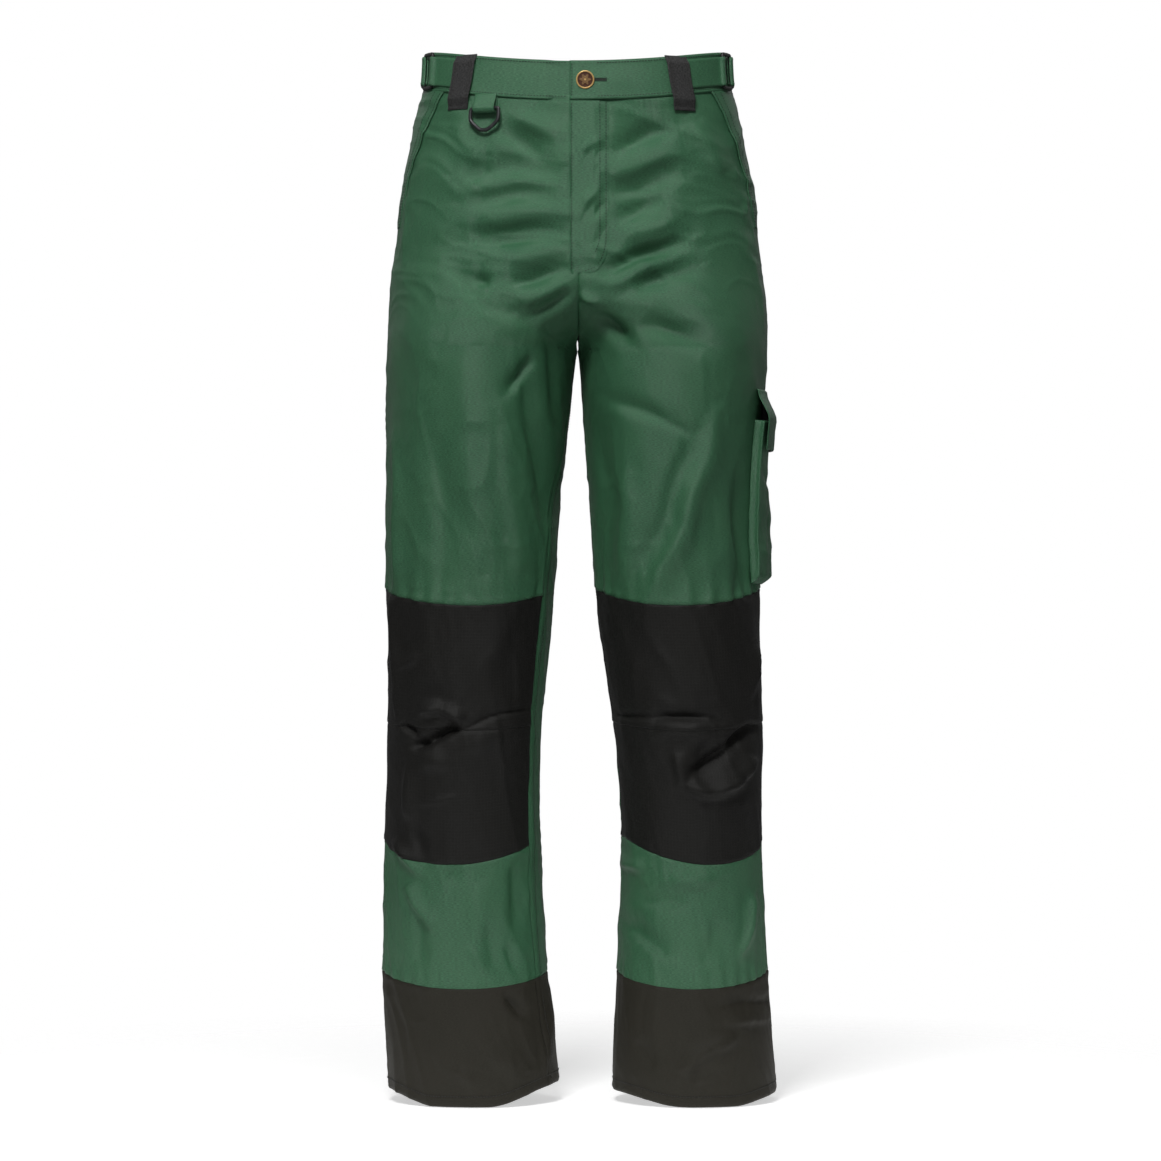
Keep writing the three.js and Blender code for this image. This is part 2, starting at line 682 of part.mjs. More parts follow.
function addFly() {
  const foot = bandFoot(radians(-90)) - flyLength;
  const head = bandFoot(radians(-90)) - seamGap / 2;
  const sliderWidth = sliderSize[0];
  const plate = sliderSize[2];
  const tapeBack = -(cloth + deepGap + tapeThickness);
  const chainFace = tapeBack + (tapeThickness + zipChainDepth) / 2;
  const plateFace = chainFace + runGap + plate;
  const pullFace = plateFace + runGap + pullSize[2];
  const flyRoom = pullFace + runGap;

  // The outer fly, sewn down along one edge and free along the other.
  const placket = warpedBlock(8, 8, 1, (u, v, w) => {
    const corner = 1 - Math.pow(1 - Math.min(v / 0.2, 1), 2);
    const sewn = THREE.MathUtils.lerp(10, flyStitch, Math.sqrt(corner));
    const x = THREE.MathUtils.lerp(flyEdge, sewn, u);
    const room = THREE.MathUtils.lerp(flyRoom, layerGap, THREE.MathUtils.smoothstep(x, 16, 24));
    return frontPoint(x, THREE.MathUtils.lerp(foot, head, v), room + w * cloth);
  });
  const hingeTop = frontPoint(flyStitch, head, layerGap);
  const hingeFoot = frontPoint(flyStitch, foot, layerGap);
  const hinge = hingeAt(hingeTop, new THREE.Vector3(0, 0, 1), hingeTop.clone().sub(hingeFoot));
  addHinged("fly_placket", placket, greenCloth, hinge);

  // The shield is sewn to the right front and lies behind the zip.
  const shieldBack = chainFace - zipChainDepth - 2 * runGap - plate;
  const shieldEnds = [flyOpening[0] - tapeWidth - 8, flyStitch - 2];
  const shieldLift = -cloth - deepGap;
  const shield = warpedBlock(10, 5, 1, (u, v, w) => {
    const x = THREE.MathUtils.lerp(shieldEnds[0], shieldEnds[1], u);
    const back = THREE.MathUtils.smoothstep(x, shieldEnds[0] + 5, flyOpening[0] - 1);
    const face = THREE.MathUtils.lerp(shieldLift, shieldBack, back);
    return frontPoint(x, THREE.MathUtils.lerp(foot + 4, head - 3, v), face + (w - 1) * bagCloth);
  });
  add("fly_shield", shield, darkLining);

  // The zip runs straight along the slope of centre front.
  const tapeHead = head - tapeDrop;
  const zipTop = frontPoint(zipMiddle, tapeHead, 0);
  const zip = new THREE.Group();
  zip.position.copy(zipTop);
  zip.rotation.x = -Math.atan(frontSlope);
  trousers.add(zip);
  const zipLength = flyLength - flyBelowZip;
  const slab = (width, length, thick, x, top, face) => {
    const shape = new THREE.BoxGeometry(width, thick, length);
    shape.translate(x, -(face - thick / 2), top - length / 2);
    return shape;
  };
  const chainHalf = zipChainWidth / 2 + runGap;
  for (const side of [1, -1]) {
    const tape = warpedBlock(3, 6, 1, (u, v, w) => {
      const x = zipMiddle + side * (chainHalf + u * tapeWidth);
      const z = THREE.MathUtils.lerp(tapeHead - zipLength, tapeHead, v);
      return frontPoint(x, z, tapeBack + w * tapeThickness);
    });
    add(`zip_tape_${sideName[side]}`, tape, zipBlack);
  }
  const chainLength = zipLength - chainShort;
  add("zip_chain", slab(zipChainWidth, chainLength, zipChainDepth, 0, 0, chainFace), zipBlack, zip);
  const stopTop = -chainLength - runGap;
  const stop = slab(zipChainWidth, stopHeight, zipChainDepth + 0.6, 0, stopTop, chainFace + 0.3);
  add("zip_bottom_stop", stop, gunmetal, zip);

  const slider = new THREE.Group();
  slider.position.z = -2;
  zip.add(slider);
  const front = slab(sliderWidth, sliderSize[1], plate, 0, 0, plateFace);
  add("zip_slider", front, gunmetal, slider);
  const rearFace = chainFace - zipChainDepth - runGap;
  add("zip_slider_back", slab(sliderWidth - 1, sliderSize[1], plate, 0, 0, rearFace), gunmetal, slider);
  const pull = new THREE.Group();
  pull.position.set(0, -(pullFace - pullSize[2] / 2), -4);
  slider.add(pull);
  const tabShape = new THREE.BoxGeometry(pullSize[0], pullSize[2], pullSize[1]);
  tabShape.translate(0, 0, -pullSize[1] / 2 + pullSize[2] / 2);
  add("zip_pull", tabShape, gunmetal, pull);
}

// ---------- hip pockets ----------

function addHipPocket(side) {
  const name = sideName[side];
  const low = bandFoot(0) - hipFlapHeight;
  const flap = warpedBlock(6, 8, 1, (u, v, w) => {
    const swing = Math.pow(1 - v, 0.7);
    const edge = radians(THREE.MathUtils.lerp(hipFlapAngles[0], hipFlapAngles[1], swing));
    const angle = THREE.MathUtils.lerp(edge, radians(sideSeamAngle), u);
    const z = THREE.MathUtils.lerp(low, bandFoot(angle) - seamGap, v);
    return liftedPoint(side, angle, z, deepGap + w * cloth);
  });
  add(`hip_pocket_flap_${name}`, flap, greenCloth);
  const bag = warpedBlock(8, 5, 1, (u, v, w) => {
    const angle = radians(THREE.MathUtils.lerp(hipBagAngles[0], hipBagAngles[1], u));
    const round = (1 - v) * hipBagRound * Math.pow(Math.abs(2 * u - 1), 3);
    const z = THREE.MathUtils.lerp(bandFoot(angle) - hipBagHeight, bandFoot(angle) - seamGap, v) + round;
    return liftedPoint(side, angle, z, -cloth - deepGap + (w - 1) * bagCloth);
  });
  add(`hip_pocket_bag_${name}`, bag, darkLining);
}

// ---------- cargo pocket on the left thigh ----------

function addCargoPocket() {
  const seam = crotch - cargoTopDrop;
  const [from, to] = cargoAngles.map(radians);
  const bagTop = seam - cargoMouthDrop;
  const bagFoot = bagTop - cargoBagHeight;
  const wall = 0.022; // of the pocket's width, taken by each bellows wall
  const block = (columns, rows, u0, u1, z0, z1, lift0, lift1) => {
    return warpedBlock(columns, rows, 1, (u, v, w) => {
      const angle = THREE.MathUtils.lerp(from, to, THREE.MathUtils.lerp(u0, u1, u));
      const z = THREE.MathUtils.lerp(z0, z1, v);
      return liftedPoint(1, angle, z, THREE.MathUtils.lerp(lift0, lift1, w));
    });
  };
  const bag = joined([
    block(12, 4, 0, 1, bagFoot, bagTop, cargoDepth - cloth, cargoDepth),
    block(1, 4, 0, wall, bagFoot, bagTop, layerGap, cargoDepth - cloth / 2),
    block(1, 4, 1 - wall, 1, bagFoot, bagTop, layerGap, cargoDepth - cloth / 2),
    block(12, 1, 0, 1, bagFoot, bagFoot + cloth, layerGap, cargoDepth - cloth / 2),
  ]);
  add("cargo_pocket_bag", bag, greenCloth);

  const stripTop = bagTop - tapeStripDrop;
  const stripFoot = stripTop - tapeStripHeight;
  const hooks = cargoDepth + layerGap;
  const loops = hooks + tapeStripThickness + runGap;
  const flapLift = loops + tapeStripThickness + runGap;
  const strip = (lift) => {
    const [start, end] = tapeStripEnds;
    return block(12, 1, start, end, stripFoot, stripTop, lift, lift + tapeStripThickness);
  };
  add("cargo_hook_tape", strip(hooks), zipBlack);

  // The flap and its tape turn about the seam where the flap is sewn on.
  const middle = (from + to) / 2;
  const axisPoint = liftedPoint(1, middle, seam, layerGap + cloth / 2);
  const seamRun = facePoint(1, middle + 0.02, seam).sub(facePoint(1, middle - 0.02, seam));
  const hinge = hingeAt(axisPoint, new THREE.Vector3(0, 1, 0), seamRun);
  const flap = warpedBlock(12, 6, 1, (u, v, w) => {
    const angle = THREE.MathUtils.lerp(from - flapOverhang, to + flapOverhang, u);
    const out = 1 - THREE.MathUtils.smoothstep(v, 0.5, 1);
    const lift = THREE.MathUtils.lerp(layerGap, flapLift, out);
    return liftedPoint(1, angle, seam - cargoFlapHeight * (1 - v), lift + w * cloth);
  });
  addHinged("cargo_pocket_flap", flap, greenCloth, hinge);
  addHinged("cargo_loop_tape", strip(loops), zipBlack, hinge);
}

for (const side of [1, -1]) {
  addLegPanels(side);
  addHipPocket(side);
  addAdjuster(side);
}
addWaistband();
addWaistButton();
addBeltLoops();
addDRing();
addFly();
addCargoPocket();

export default trousers;
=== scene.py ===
import math

import bpy
import numpy as np
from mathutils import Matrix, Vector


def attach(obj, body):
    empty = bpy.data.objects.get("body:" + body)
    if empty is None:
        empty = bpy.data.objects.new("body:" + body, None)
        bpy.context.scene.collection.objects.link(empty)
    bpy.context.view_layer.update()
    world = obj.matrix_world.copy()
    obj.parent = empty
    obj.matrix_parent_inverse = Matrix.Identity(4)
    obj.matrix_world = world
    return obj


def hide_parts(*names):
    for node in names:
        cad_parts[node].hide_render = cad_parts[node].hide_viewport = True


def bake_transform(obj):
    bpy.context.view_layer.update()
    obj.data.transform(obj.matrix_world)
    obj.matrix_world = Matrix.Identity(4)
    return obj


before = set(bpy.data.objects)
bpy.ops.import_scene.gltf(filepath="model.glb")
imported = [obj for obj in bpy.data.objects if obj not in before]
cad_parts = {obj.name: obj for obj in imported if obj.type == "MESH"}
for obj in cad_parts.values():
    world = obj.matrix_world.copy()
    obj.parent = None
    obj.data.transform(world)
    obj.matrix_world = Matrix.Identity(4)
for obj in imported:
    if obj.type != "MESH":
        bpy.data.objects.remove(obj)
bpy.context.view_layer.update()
print("frame loaded:", len(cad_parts), "nodes")

# everything is worked out in millimetres and turned into metres when a mesh is made
mm = 0.001
turn = math.radians
names = {1: "left", -1: "right"}  # the wearer's left is +x

garment = {
    "hemTop": 135, "kneeFoot": 272, "kneeSeam": 390, "kneeTop": 528,
    "crotch": 785, "fork": 880, "sideTop": 1080,
    "frontDrop": 18, "backLift": -4, "bandHeight": 40,
    "hemDip": 14, "kneeFootDip": 25, "kneeSeamDip": 6, "kneeTopDip": 17,
    "kneeSwing": {-1: turn(8), 1: turn(16)},
    "sideSeam": turn(10),
    "inseamTurn": {-1: turn(30), 1: turn(-4)},
    "legGap": 1.2,
    "cloth": 1.3,  # thickness of a lined panel
    "lap": 5,  # how far a panel runs on under its neighbour
    "hemRise": {-1: (20, 13), 1: (12, 9)},  # inner and outer side of each hem
}

# height, reach to the front, to the back, middle,
# then outer and inner reach of the right leg and of the left
levels = np.array([
    [0, 66, 82, 8, 195, 15, 207, 34], [135, 68, 84, 6, 201, 30, 196, 40],
    [272, 76, 82, 2, 199, 37, 190, 44], [390, 86, 74, -4, 196, 36, 191, 36],
    [528, 95, 86, 0, 197, 22, 188, 17], [656.5, 108, 104, 4, 198, 13, 186, 9],
    [785, 117, 120, 6, 197, 0, 197, 0], [880, 112.57, 128, 0, 188, 0, 188, 0],
    [940, 108.28, 124, 0, 180.5, 0, 180.5, 0], [990, 104.71, 116, 0, 170, 0, 170, 0],
    [1040, 101.14, 106, 0, 158, 0, 158, 0], [1084, 98, 101, 0, 155, 0, 155, 0],
])


def smooth(x, low, high):
    # 3t^2 - 2t^3 with t running from 0 at low to 1 at high
    t = np.clip((x - low) / (high - low), 0, 1)
    return t * t * (3 - 2 * t)


def mix(a, b, t):
    return a + (b - a) * t


def along(z, column):
    # cubic through the levels, each slope taken from the two neighbours
    height, value = levels[:, 0], levels[:, column]
    k = np.arange(len(height))
    before, after = np.maximum(k - 1, 0), np.minimum(k + 1, len(k) - 1)
    slope = (value[after] - value[before]) / (height[after] - height[before])
    i = np.searchsorted(height[1:-1], z)
    span = height[i + 1] - height[i]
    t = np.clip((z - height[i]) / span, -0.2, 1.2)
    return (
        (2 * t**3 - 3 * t**2 + 1) * value[i] + (t**3 - 2 * t**2 + t) * span * slope[i]
        + (3 * t**2 - 2 * t**3) * value[i + 1] + (t**3 - t**2) * span * slope[i + 1]
    )


def rawSection(side, z):
    # part of an ellipse at one height: about the centre plane over the fork, about the leg below
    g = garment
    outer = along(z, 4 if side < 0 else 6)
    front, back, middle = along(z, 1), along(z, 2), along(z, 3)
    share = np.clip((g["fork"] - z) / (g["fork"] - g["crotch"]), 0, 1) ** 1.5
    opened = smooth(g["crotch"] - z, 0, 25) * g["legGap"]
    inner = np.maximum(along(z, 5 if side < 0 else 7), 0) + opened
    leg = z < g["crotch"]
    centre = np.where(leg, (outer + inner) / 2, outer * share / (1 + share))
    reach = np.where(leg, (outer - inner) / 2, outer / (1 + share))
    return np.stack([centre, reach, middle, front + middle, back - middle])


def easedSections(side):
    # the sections at every half millimetre, averaged up and down near the fork,
    # so that no crease runs across
    heights = np.arange(-60.0, 1160.0, 0.5)
    raw = rawSection(side, heights)
    bell = np.exp(-((np.arange(-60, 61) / 32.0) ** 2))
    eased = np.stack([np.convolve(np.pad(row, 60, "edge"), bell / bell.sum(), "valid") for row in raw])
    near = np.exp(-(((heights - garment["crotch"]) / 75.0) ** 4))
    return heights, mix(raw, eased, near)


sections = {side: easedSections(side) for side in (1, -1)}


def section(side, z):
    heights, rows = sections[side]
    return [np.interp(z, heights, row) for row in rows]


def facePoint(side, angle, z):
    # side * (centre + reach cos a), middle + depth sin a, z
    centre, reach, middle, deepFront, deepBack = section(side, z)
    sine = np.sin(angle)
    depth = np.where(sine < 0, deepFront, deepBack)
    x = (centre + reach * np.cos(angle)) * side
    return np.stack(np.broadcast_arrays(x, middle + depth * sine, z), -1)


def unit(v):
    return v / np.maximum(np.linalg.norm(v, axis=-1, keepdims=True), 1e-9)


def outward(side, angle, z):
    # cross product of the two directions along the cloth
    a = facePoint(side, angle + 0.01, z) - facePoint(side, angle - 0.01, z)
    b = facePoint(side, angle, z + 1.0) - facePoint(side, angle, z - 1.0)
    return unit(np.cross(a, b)) * side


def frontAngle(side, x, z):
    # the angle whose point stands x from the centre plane, at the front
    centre, reach, *_ = section(side, z)
    return -np.arccos(np.clip((x - centre) / reach, -1, 1))


def bandTop(angle):
    s = np.sin(angle)
    bend = np.where(s < 0, -garment["frontDrop"], garment["backLift"])
    return garment["sideTop"] + bend * s * s


def bandFoot(angle):
    return bandTop(angle) - garment["bandHeight"]


def dipped(base, dip, swing=0.0):
    # base - dip * a cosine bell, deepest a little outwards of the front
    return lambda angle: base - dip * np.maximum(0, -np.sin(angle - swing)) ** 1.3


# the folds: x and z of both ends, width, height (a valley is negative), and how sharp
frontFolds = np.array([
    # right hip
    [-83, 990, -33, 966, 11, -3.2, 2.0], [-60, 1004, -20, 984, 9, 2.0, 2.0],
    [-112, 948, -14, 953, 15, -2.8, 2.0], [-110, 918, -20, 922, 13, -2.4, 2.0],
    [-112, 932, -30, 936, 10, 1.4, 2.0], [-112, 878, -10, 884, 13, -3.6, 2.0],
    [-105, 896, -25, 902, 12, 2.0, 2.0], [-70, 834, -9, 850, 12, -4.6, 1.7],
    [-78, 858, -20, 866, 14, 2.4, 2.0], [-128, 856, -100, 815, 9, -2.2, 2.0],
    [-108, 842, -92, 832, 6, -3.2, 1.7], [-96, 812, -40, 790, 13, -2.6, 2.0],
    [-60, 812, -15, 838, 9, 2.0, 2.0], [-125, 1000, -96, 960, 12, 1.8, 2.0],
    [-45, 800, -12, 828, 7, -2.6, 1.6],
    # left hip
    [38, 974, 100, 994, 11, -3.0, 2.0], [40, 952, 110, 968, 12, 1.8, 2.0],
    [38, 930, 108, 944, 12, -2.8, 2.0], [40, 898, 90, 924, 11, -2.8, 2.0],
    [44, 884, 104, 902, 11, 2.0, 2.0], [26, 852, 108, 878, 10, -3.8, 1.8],
    [30, 866, 100, 888, 8, 1.6, 2.0], [56, 830, 114, 850, 12, -3.4, 2.0],
    [-4, 826, 18, 818, 4, 3.2, 1.5], [30, 838, 90, 856, 9, 2.4, 2.0],
    [12, 806, 52, 776, 9, -2.8, 1.8], [60, 800, 126, 764, 13, -2.6, 2.0],
    [120, 1000, 150, 950, 12, 1.8, 2.0],
    # fly
    [-4, 926, 25, 956, 6, -2.6, 1.8], [-7, 1000, 8, 1016, 4, -2.4, 1.6],
    [-2, 897, 27, 916, 5, -2.0, 1.8], [-6, 962, 24, 984, 7, 1.6, 2.0],
    [-5, 940, 24, 968, 5, -1.4, 2.0], [0, 912, 26, 934, 6, 1.5, 2.0],
    [-4, 870, 22, 886, 6, -1.6, 2.0],
    # thighs
    [-184, 690, -187, 500, 5, 2.6, 1.5], [-66, 724, -46, 757, 7, -3.0, 1.6],
    [-109, 800, -101, 540, 26, 2.6, 2.0], [-50, 745, -30, 590, 12, -3.4, 2.0],
    [-146, 690, -134, 528, 16, -2.0, 2.0], [-76, 690, -60, 540, 14, 1.8, 2.0],
    [-30, 780, -14, 690, 8, -2.2, 1.8], [144, 700, 73, 515, 12, 3.4, 2.0],
    [33, 724, 116, 682, 8, -2.4, 1.7], [118, 680, 60, 545, 13, -2.2, 2.0],
    [24, 710, 24, 528, 10, -2.2, 2.0], [160, 640, 167, 518, 9, -3.0, 1.8],
    [62, 796, 126, 772, 9, -2.0, 2.0], [12, 804, 44, 782, 6, -2.4, 1.6],
    [46, 650, 44, 540, 12, 1.8, 2.0],
    # right knee
    [-184, 520, -184, 394, 4, 2.6, 1.4], [-182, 393, -166, 381, 4, -3.2, 1.4],
    [-172, 371, -153, 371, 5, -4.6, 1.6], [-154, 372, -122, 390, 5, -5.2, 1.5],
    [-126, 385, -47, 405, 3, -1.6, 1.4], [-160, 405, -138, 409, 7, 3.4, 2.0],
    [-138, 408, -118, 394, 6, 3.0, 2.0], [-180, 449, -156, 466, 5, 1.6, 1.7],
    [-178, 349, -168, 276, 6, 2.4, 1.8], [-166, 314, -118, 315, 3, 0.9, 1.5],
    [-166, 356, -132, 350, 12, 2.6, 2.0], [-100, 420, -70, 500, 18, 1.4, 2.0],
    [-172, 300, -158, 262, 7, -2.0, 2.0], [-120, 366, -80, 376, 12, 1.8, 2.0],
    # left knee
    [37, 403, 74, 396, 3, -1.8, 1.4], [74, 395, 132, 396, 4, -3.6, 1.4],
    [132, 395, 148, 389, 4, -1.8, 1.5], [182, 390, 150, 368, 6, -5.0, 1.5],
    [150, 368, 114, 335, 9, -5.6, 1.7], [98, 358, 108, 326, 8, 2.6, 2.0],
    [108, 324, 136, 315, 7, 3.8, 1.8], [136, 316, 166, 334, 8, 3.8, 1.8],
    [166, 336, 176, 356, 7, 2.8, 2.0], [76, 382, 130, 382, 10, 2.6, 2.0],
    [176, 417, 187, 472, 6, 2.4, 1.6], [128, 372, 116, 352, 8, -2.0, 2.0],
    # calves
    [-171, 228, -146, 185, 6, 3.2, 1.5], [-188, 273, -158, 238, 6, 2.8, 1.6],
    [-122, 252, -130, 228, 9, -1.6, 2.0], [-58, 240, -64, 178, 10, -2.6, 2.0],
    [-92, 190, -86, 140, 9, -1.6, 2.0], [-160, 200, -168, 150, 8, -1.8, 2.0],
    [-110, 160, -98, 132, 6, 1.4, 1.8], [-72, 165, -66, 138, 5, -1.5, 1.8],
    [-105, 230, -96, 170, 14, 1.8, 2.0], [97, 226, 145, 232, 9, 2.6, 1.9],
    [183, 214, 164, 156, 5, 3.2, 1.5], [50, 186, 90, 156, 10, -2.2, 2.0],
    [44, 251, 72, 244, 7, 2.2, 1.8], [60, 214, 110, 204, 9, -1.8, 2.0],
    [142, 190, 132, 140, 12, -1.6, 2.0],
    # hems
    [-76, 107, -58, 88, 6, -2.8, 1.6], [-33, 121, -29, 36, 7, 1.8, 2.0],
    [-120, 40, -104, 14, 7, 1.6, 1.8], [-92, 60, -60, 30, 13, 1.6, 2.0],
    [108, 30, 138, 58, 9, 2.8, 1.8], [138, 57, 160, 69, 9, 2.6, 1.8],
    [141, 99, 198, 107, 6, -1.8, 1.7], [146, 84, 192, 87, 6, 1.6, 1.8],
    [60, 70, 80, 40, 10, -1.6, 2.0], [118, 22, 150, 30, 8, -1.6, 2.0],
])

backFolds = np.array([
    # seat
    [-120, 905, -20, 868, 14, -3.0, 2.0], [-130, 870, -30, 842, 12, 2.4, 2.0],
    [-118, 842, -14, 812, 11, -4.2, 1.8], [-130, 815, -30, 784, 11, 2.6, 2.0],
    [-126, 792, -22, 762, 10, -3.4, 1.8], [-40, 975, -8, 950, 9, -1.8, 2.0],
    [124, 900, 22, 872, 13, -2.8, 2.0], [132, 876, 30, 846, 12, 2.4, 2.0],
    [120, 846, 16, 815, 11, -4.0, 1.8], [128, 818, 32, 786, 11, 2.6, 2.0],
    [130, 788, 26, 758, 10, -3.2, 1.8], [44, 980, 10, 952, 9, -1.8, 2.0],
    [-150, 985, -110, 960, 12, 1.8, 2.0], [150, 985, 112, 958, 12, 1.8, 2.0],
    # thighs
    [-150, 740, -60, 700, 15, -2.2, 2.0], [146, 736, 60, 700, 15, -2.2, 2.0],
    [-112, 690, -106, 540, 22, 2.4, 2.0], [104, 690, 98, 540, 22, 2.4, 2.0],
    [-160, 660, -150, 540, 13, -2.2, 2.0], [60, 650, 54, 540, 13, -2.2, 2.0],
    # hollow of the knee
    [-172, 430, -100, 412, 9, -4.6, 1.7], [-140, 414, -60, 428, 8, -4.2, 1.7],
    [-168, 404, -70, 392, 9, 3.0, 2.0], [-170, 384, -108, 372, 8, -4.4, 1.7],
    [-130, 372, -62, 384, 8, -3.6, 1.7], [-160, 352, -90, 346, 10, 2.4, 2.0],
    [-150, 450, -80, 456, 11, 2.6, 2.0], [60, 430, 130, 412, 9, -4.4, 1.7],
    [96, 412, 166, 426, 8, -4.4, 1.7], [62, 404, 160, 394, 9, 3.0, 2.0],
    [66, 374, 130, 384, 8, -4.2, 1.7], [104, 382, 168, 370, 8, -3.8, 1.7],
    [70, 350, 150, 344, 10, 2.4, 2.0], [74, 452, 150, 456, 11, 2.6, 2.0],
    # calves and hems
    [-150, 250, -96, 196, 12, -2.2, 2.0], [150, 250, 92, 190, 12, -2.2, 2.0],
    [-100, 300, -92, 190, 13, 2.0, 2.0], [120, 300, 112, 190, 13, 2.0, 2.0],
    [-150, 90, -120, 20, 12, 2.0, 2.0], [-70, 100, -60, 25, 11, -1.8, 2.0],
    [150, 96, 120, 20, 12, 2.0, 2.0], [80, 100, 70, 25, 11, -1.8, 2.0],
])


foldGain = 2.7


def foldHeight(x, z, folds):
    # sum of height * exp(-(distance to the line / width) ^ sharp), lower towards the two ends
    wx = x + 3 * np.sin(z / 37 + 1.3) + 1.6 * np.sin(z / 15 + x / 29)
    wz = z + 3 * np.sin(x / 31 + 0.7) + 1.6 * np.sin(x / 13 + z / 23)
    total = np.zeros_like(x)
    for x0, z0, x1, z1, width, height, sharp in folds:
        dx, dz = x1 - x0, z1 - z0
        t = np.clip(((wx - x0) * dx + (wz - z0) * dz) / (dx * dx + dz * dz), 0, 1)
        away = np.hypot(wx - x0 - t * dx, wz - z0 - t * dz)
        below = (wx - x0) * dz - (wz - z0) * dx > 0
        away = away * np.where(below, 1.5, 0.8)
        ends = 0.25 + 0.75 * np.sin(np.pi * t) ** 0.7
        total += foldGain * height * ends * np.exp(-((away / width) ** sharp))
    return total


def latticeNoise(x, y, seed):
    # random values at whole numbers, joined by smooth steps, from -1 to 1
    table = np.random.default_rng(seed).uniform(-1, 1, (64, 64))
    i, j = np.floor(x).astype(int), np.floor(y).astype(int)
    s, t = x - i, y - j
    s, t = s**3 * (s * (6 * s - 15) + 10), t**3 * (t * (6 * t - 15) + 10)
    corner = lambda a, b: table[(i + a) % 64, (j + b) % 64]
    return mix(mix(corner(0, 0), corner(1, 0), s), mix(corner(0, 1), corner(1, 1), s), t)


def crumple(x, z, wide, tall, seed):
    # creases: 1 - |noise| is sharp where the noise changes sign
    bend = latticeNoise(x / 70, z / 70, seed + 5)
    u, v = x / wide + 0.55 * bend, z / tall + 0.55 * latticeNoise(x / 55, z / 55, seed + 9)
    ridge = 1 - np.sqrt(latticeNoise(u, v, seed) ** 2 + 0.0025)
    fine = 1 - np.sqrt(latticeNoise(2.1 * u, 2.1 * v, seed + 1) ** 2 + 0.004)
    return 0.72 * ridge**2 + 0.28 * fine**2 - 0.42


def puckers(run, above, period, height, reach, phase):
    # short ripples that start at a seam and fade away from it
    ripple = np.sin(run * 2 * np.pi / period + phase + 1.3 * np.sin(run / 31 + phase))
    return height * ripple * np.exp(-np.abs(above) / reach) * (0.6 + 0.4 * np.sin(run / 47 + phase * 2))


def relief(side, angle, z):
    g = garment
    point = facePoint(side, angle, z)
    x, facing = point[..., 0], -np.sin(angle) * np.ones_like(z)
    calm = 1 - smooth(z, bandFoot(angle) - 14, bandFoot(angle) - 2)
    forward, rearward = smooth(facing, -0.1, 0.3), smooth(-facing, -0.1, 0.3)
    lift = forward * foldHeight(x, z, frontFolds) + rearward * foldHeight(x, z, backFolds)
    lift *= 1 - 0.8 * (1 - smooth(np.abs(x), 2, 9)) * (z > g["crotch"] - 30)
    run = angle * 110.0
    # level creases over the hips, upright and slanting ones down the legs
    hips = smooth(z, 760, 850)
    slant = run * side + 0.35 * z
    legs = 0.55 * crumple(slant, z, 34, 120, 3) + 0.45 * crumple(run, z, 46, 60, 21)
    lift += mix(3.6 * legs, 3.6 * crumple(run, z + 0.25 * x, 95, 26, 40), hips)
    phase = side * 1.7
    for seam, period, height, reach in (
        (dipped(g["kneeTop"], g["kneeTopDip"]), 27, 1.8, 24),
        (dipped(g["hemTop"], g["hemDip"]), 23, 1.3, 18),
        (dipped(g["kneeFoot"], g["kneeFootDip"], g["kneeSwing"][side]), 31, 0.7, 12),
    ):
        above = z - seam(angle)
        lift += puckers(run, above, period, height, reach, phase) * smooth(above, -4, 2)
    # over the zip the cloth only bulges outwards
    overZip = smooth(x, -9, -4) * (1 - smooth(x, 16, 22)) * smooth(z, 852, 868) * forward
    lift = mix(lift, np.logaddexp(0, lift * 1.3) / 1.3 - 0.3, overZip)
    # behind the D-ring the cloth never bulges, so that the ring can swing in
    nearRing = np.exp(-(((x + 92) / 24) ** 4) - ((z - 1001) / 24) ** 4) * forward
    lift = mix(lift, np.minimum(lift, 0) * 0.6 - 0.6, nearRing)
    return lift * calm


def clothPoint(side, angle, z, lift, folded=1.0):
    # the face, its folds and a lift off it, all along the outward direction
    angle, z = np.broadcast_arrays(np.asarray(angle, float), np.asarray(z, float))
    rise = lift + (relief(side, angle, z) * folded if np.any(folded) else 0)
    return facePoint(side, angle, z) + outward(side, angle, z) * np.asarray(rise)[..., None]


def frontPoint(x, z, lift, folded=1.0):
    # the same for a point of the front that is given by its x
    x, z, lift = np.broadcast_arrays(np.asarray(x, float), np.asarray(z, float), np.asarray(lift, float))
    reach = np.maximum(np.abs(x), 0.01)
    both = {s: clothPoint(s, frontAngle(s, reach, z), z, lift, folded) for s in (1, -1)}
    place = np.where((x < 0)[..., None], both[-1], both[1])
    place[..., 0] = x
    return place


def grid(columns, rows, fromU=0.0, toU=1.0, fromV=0.0, toV=1.0):
    return np.meshgrid(np.linspace(fromU, toU, columns + 1), np.linspace(fromV, toV, rows + 1))


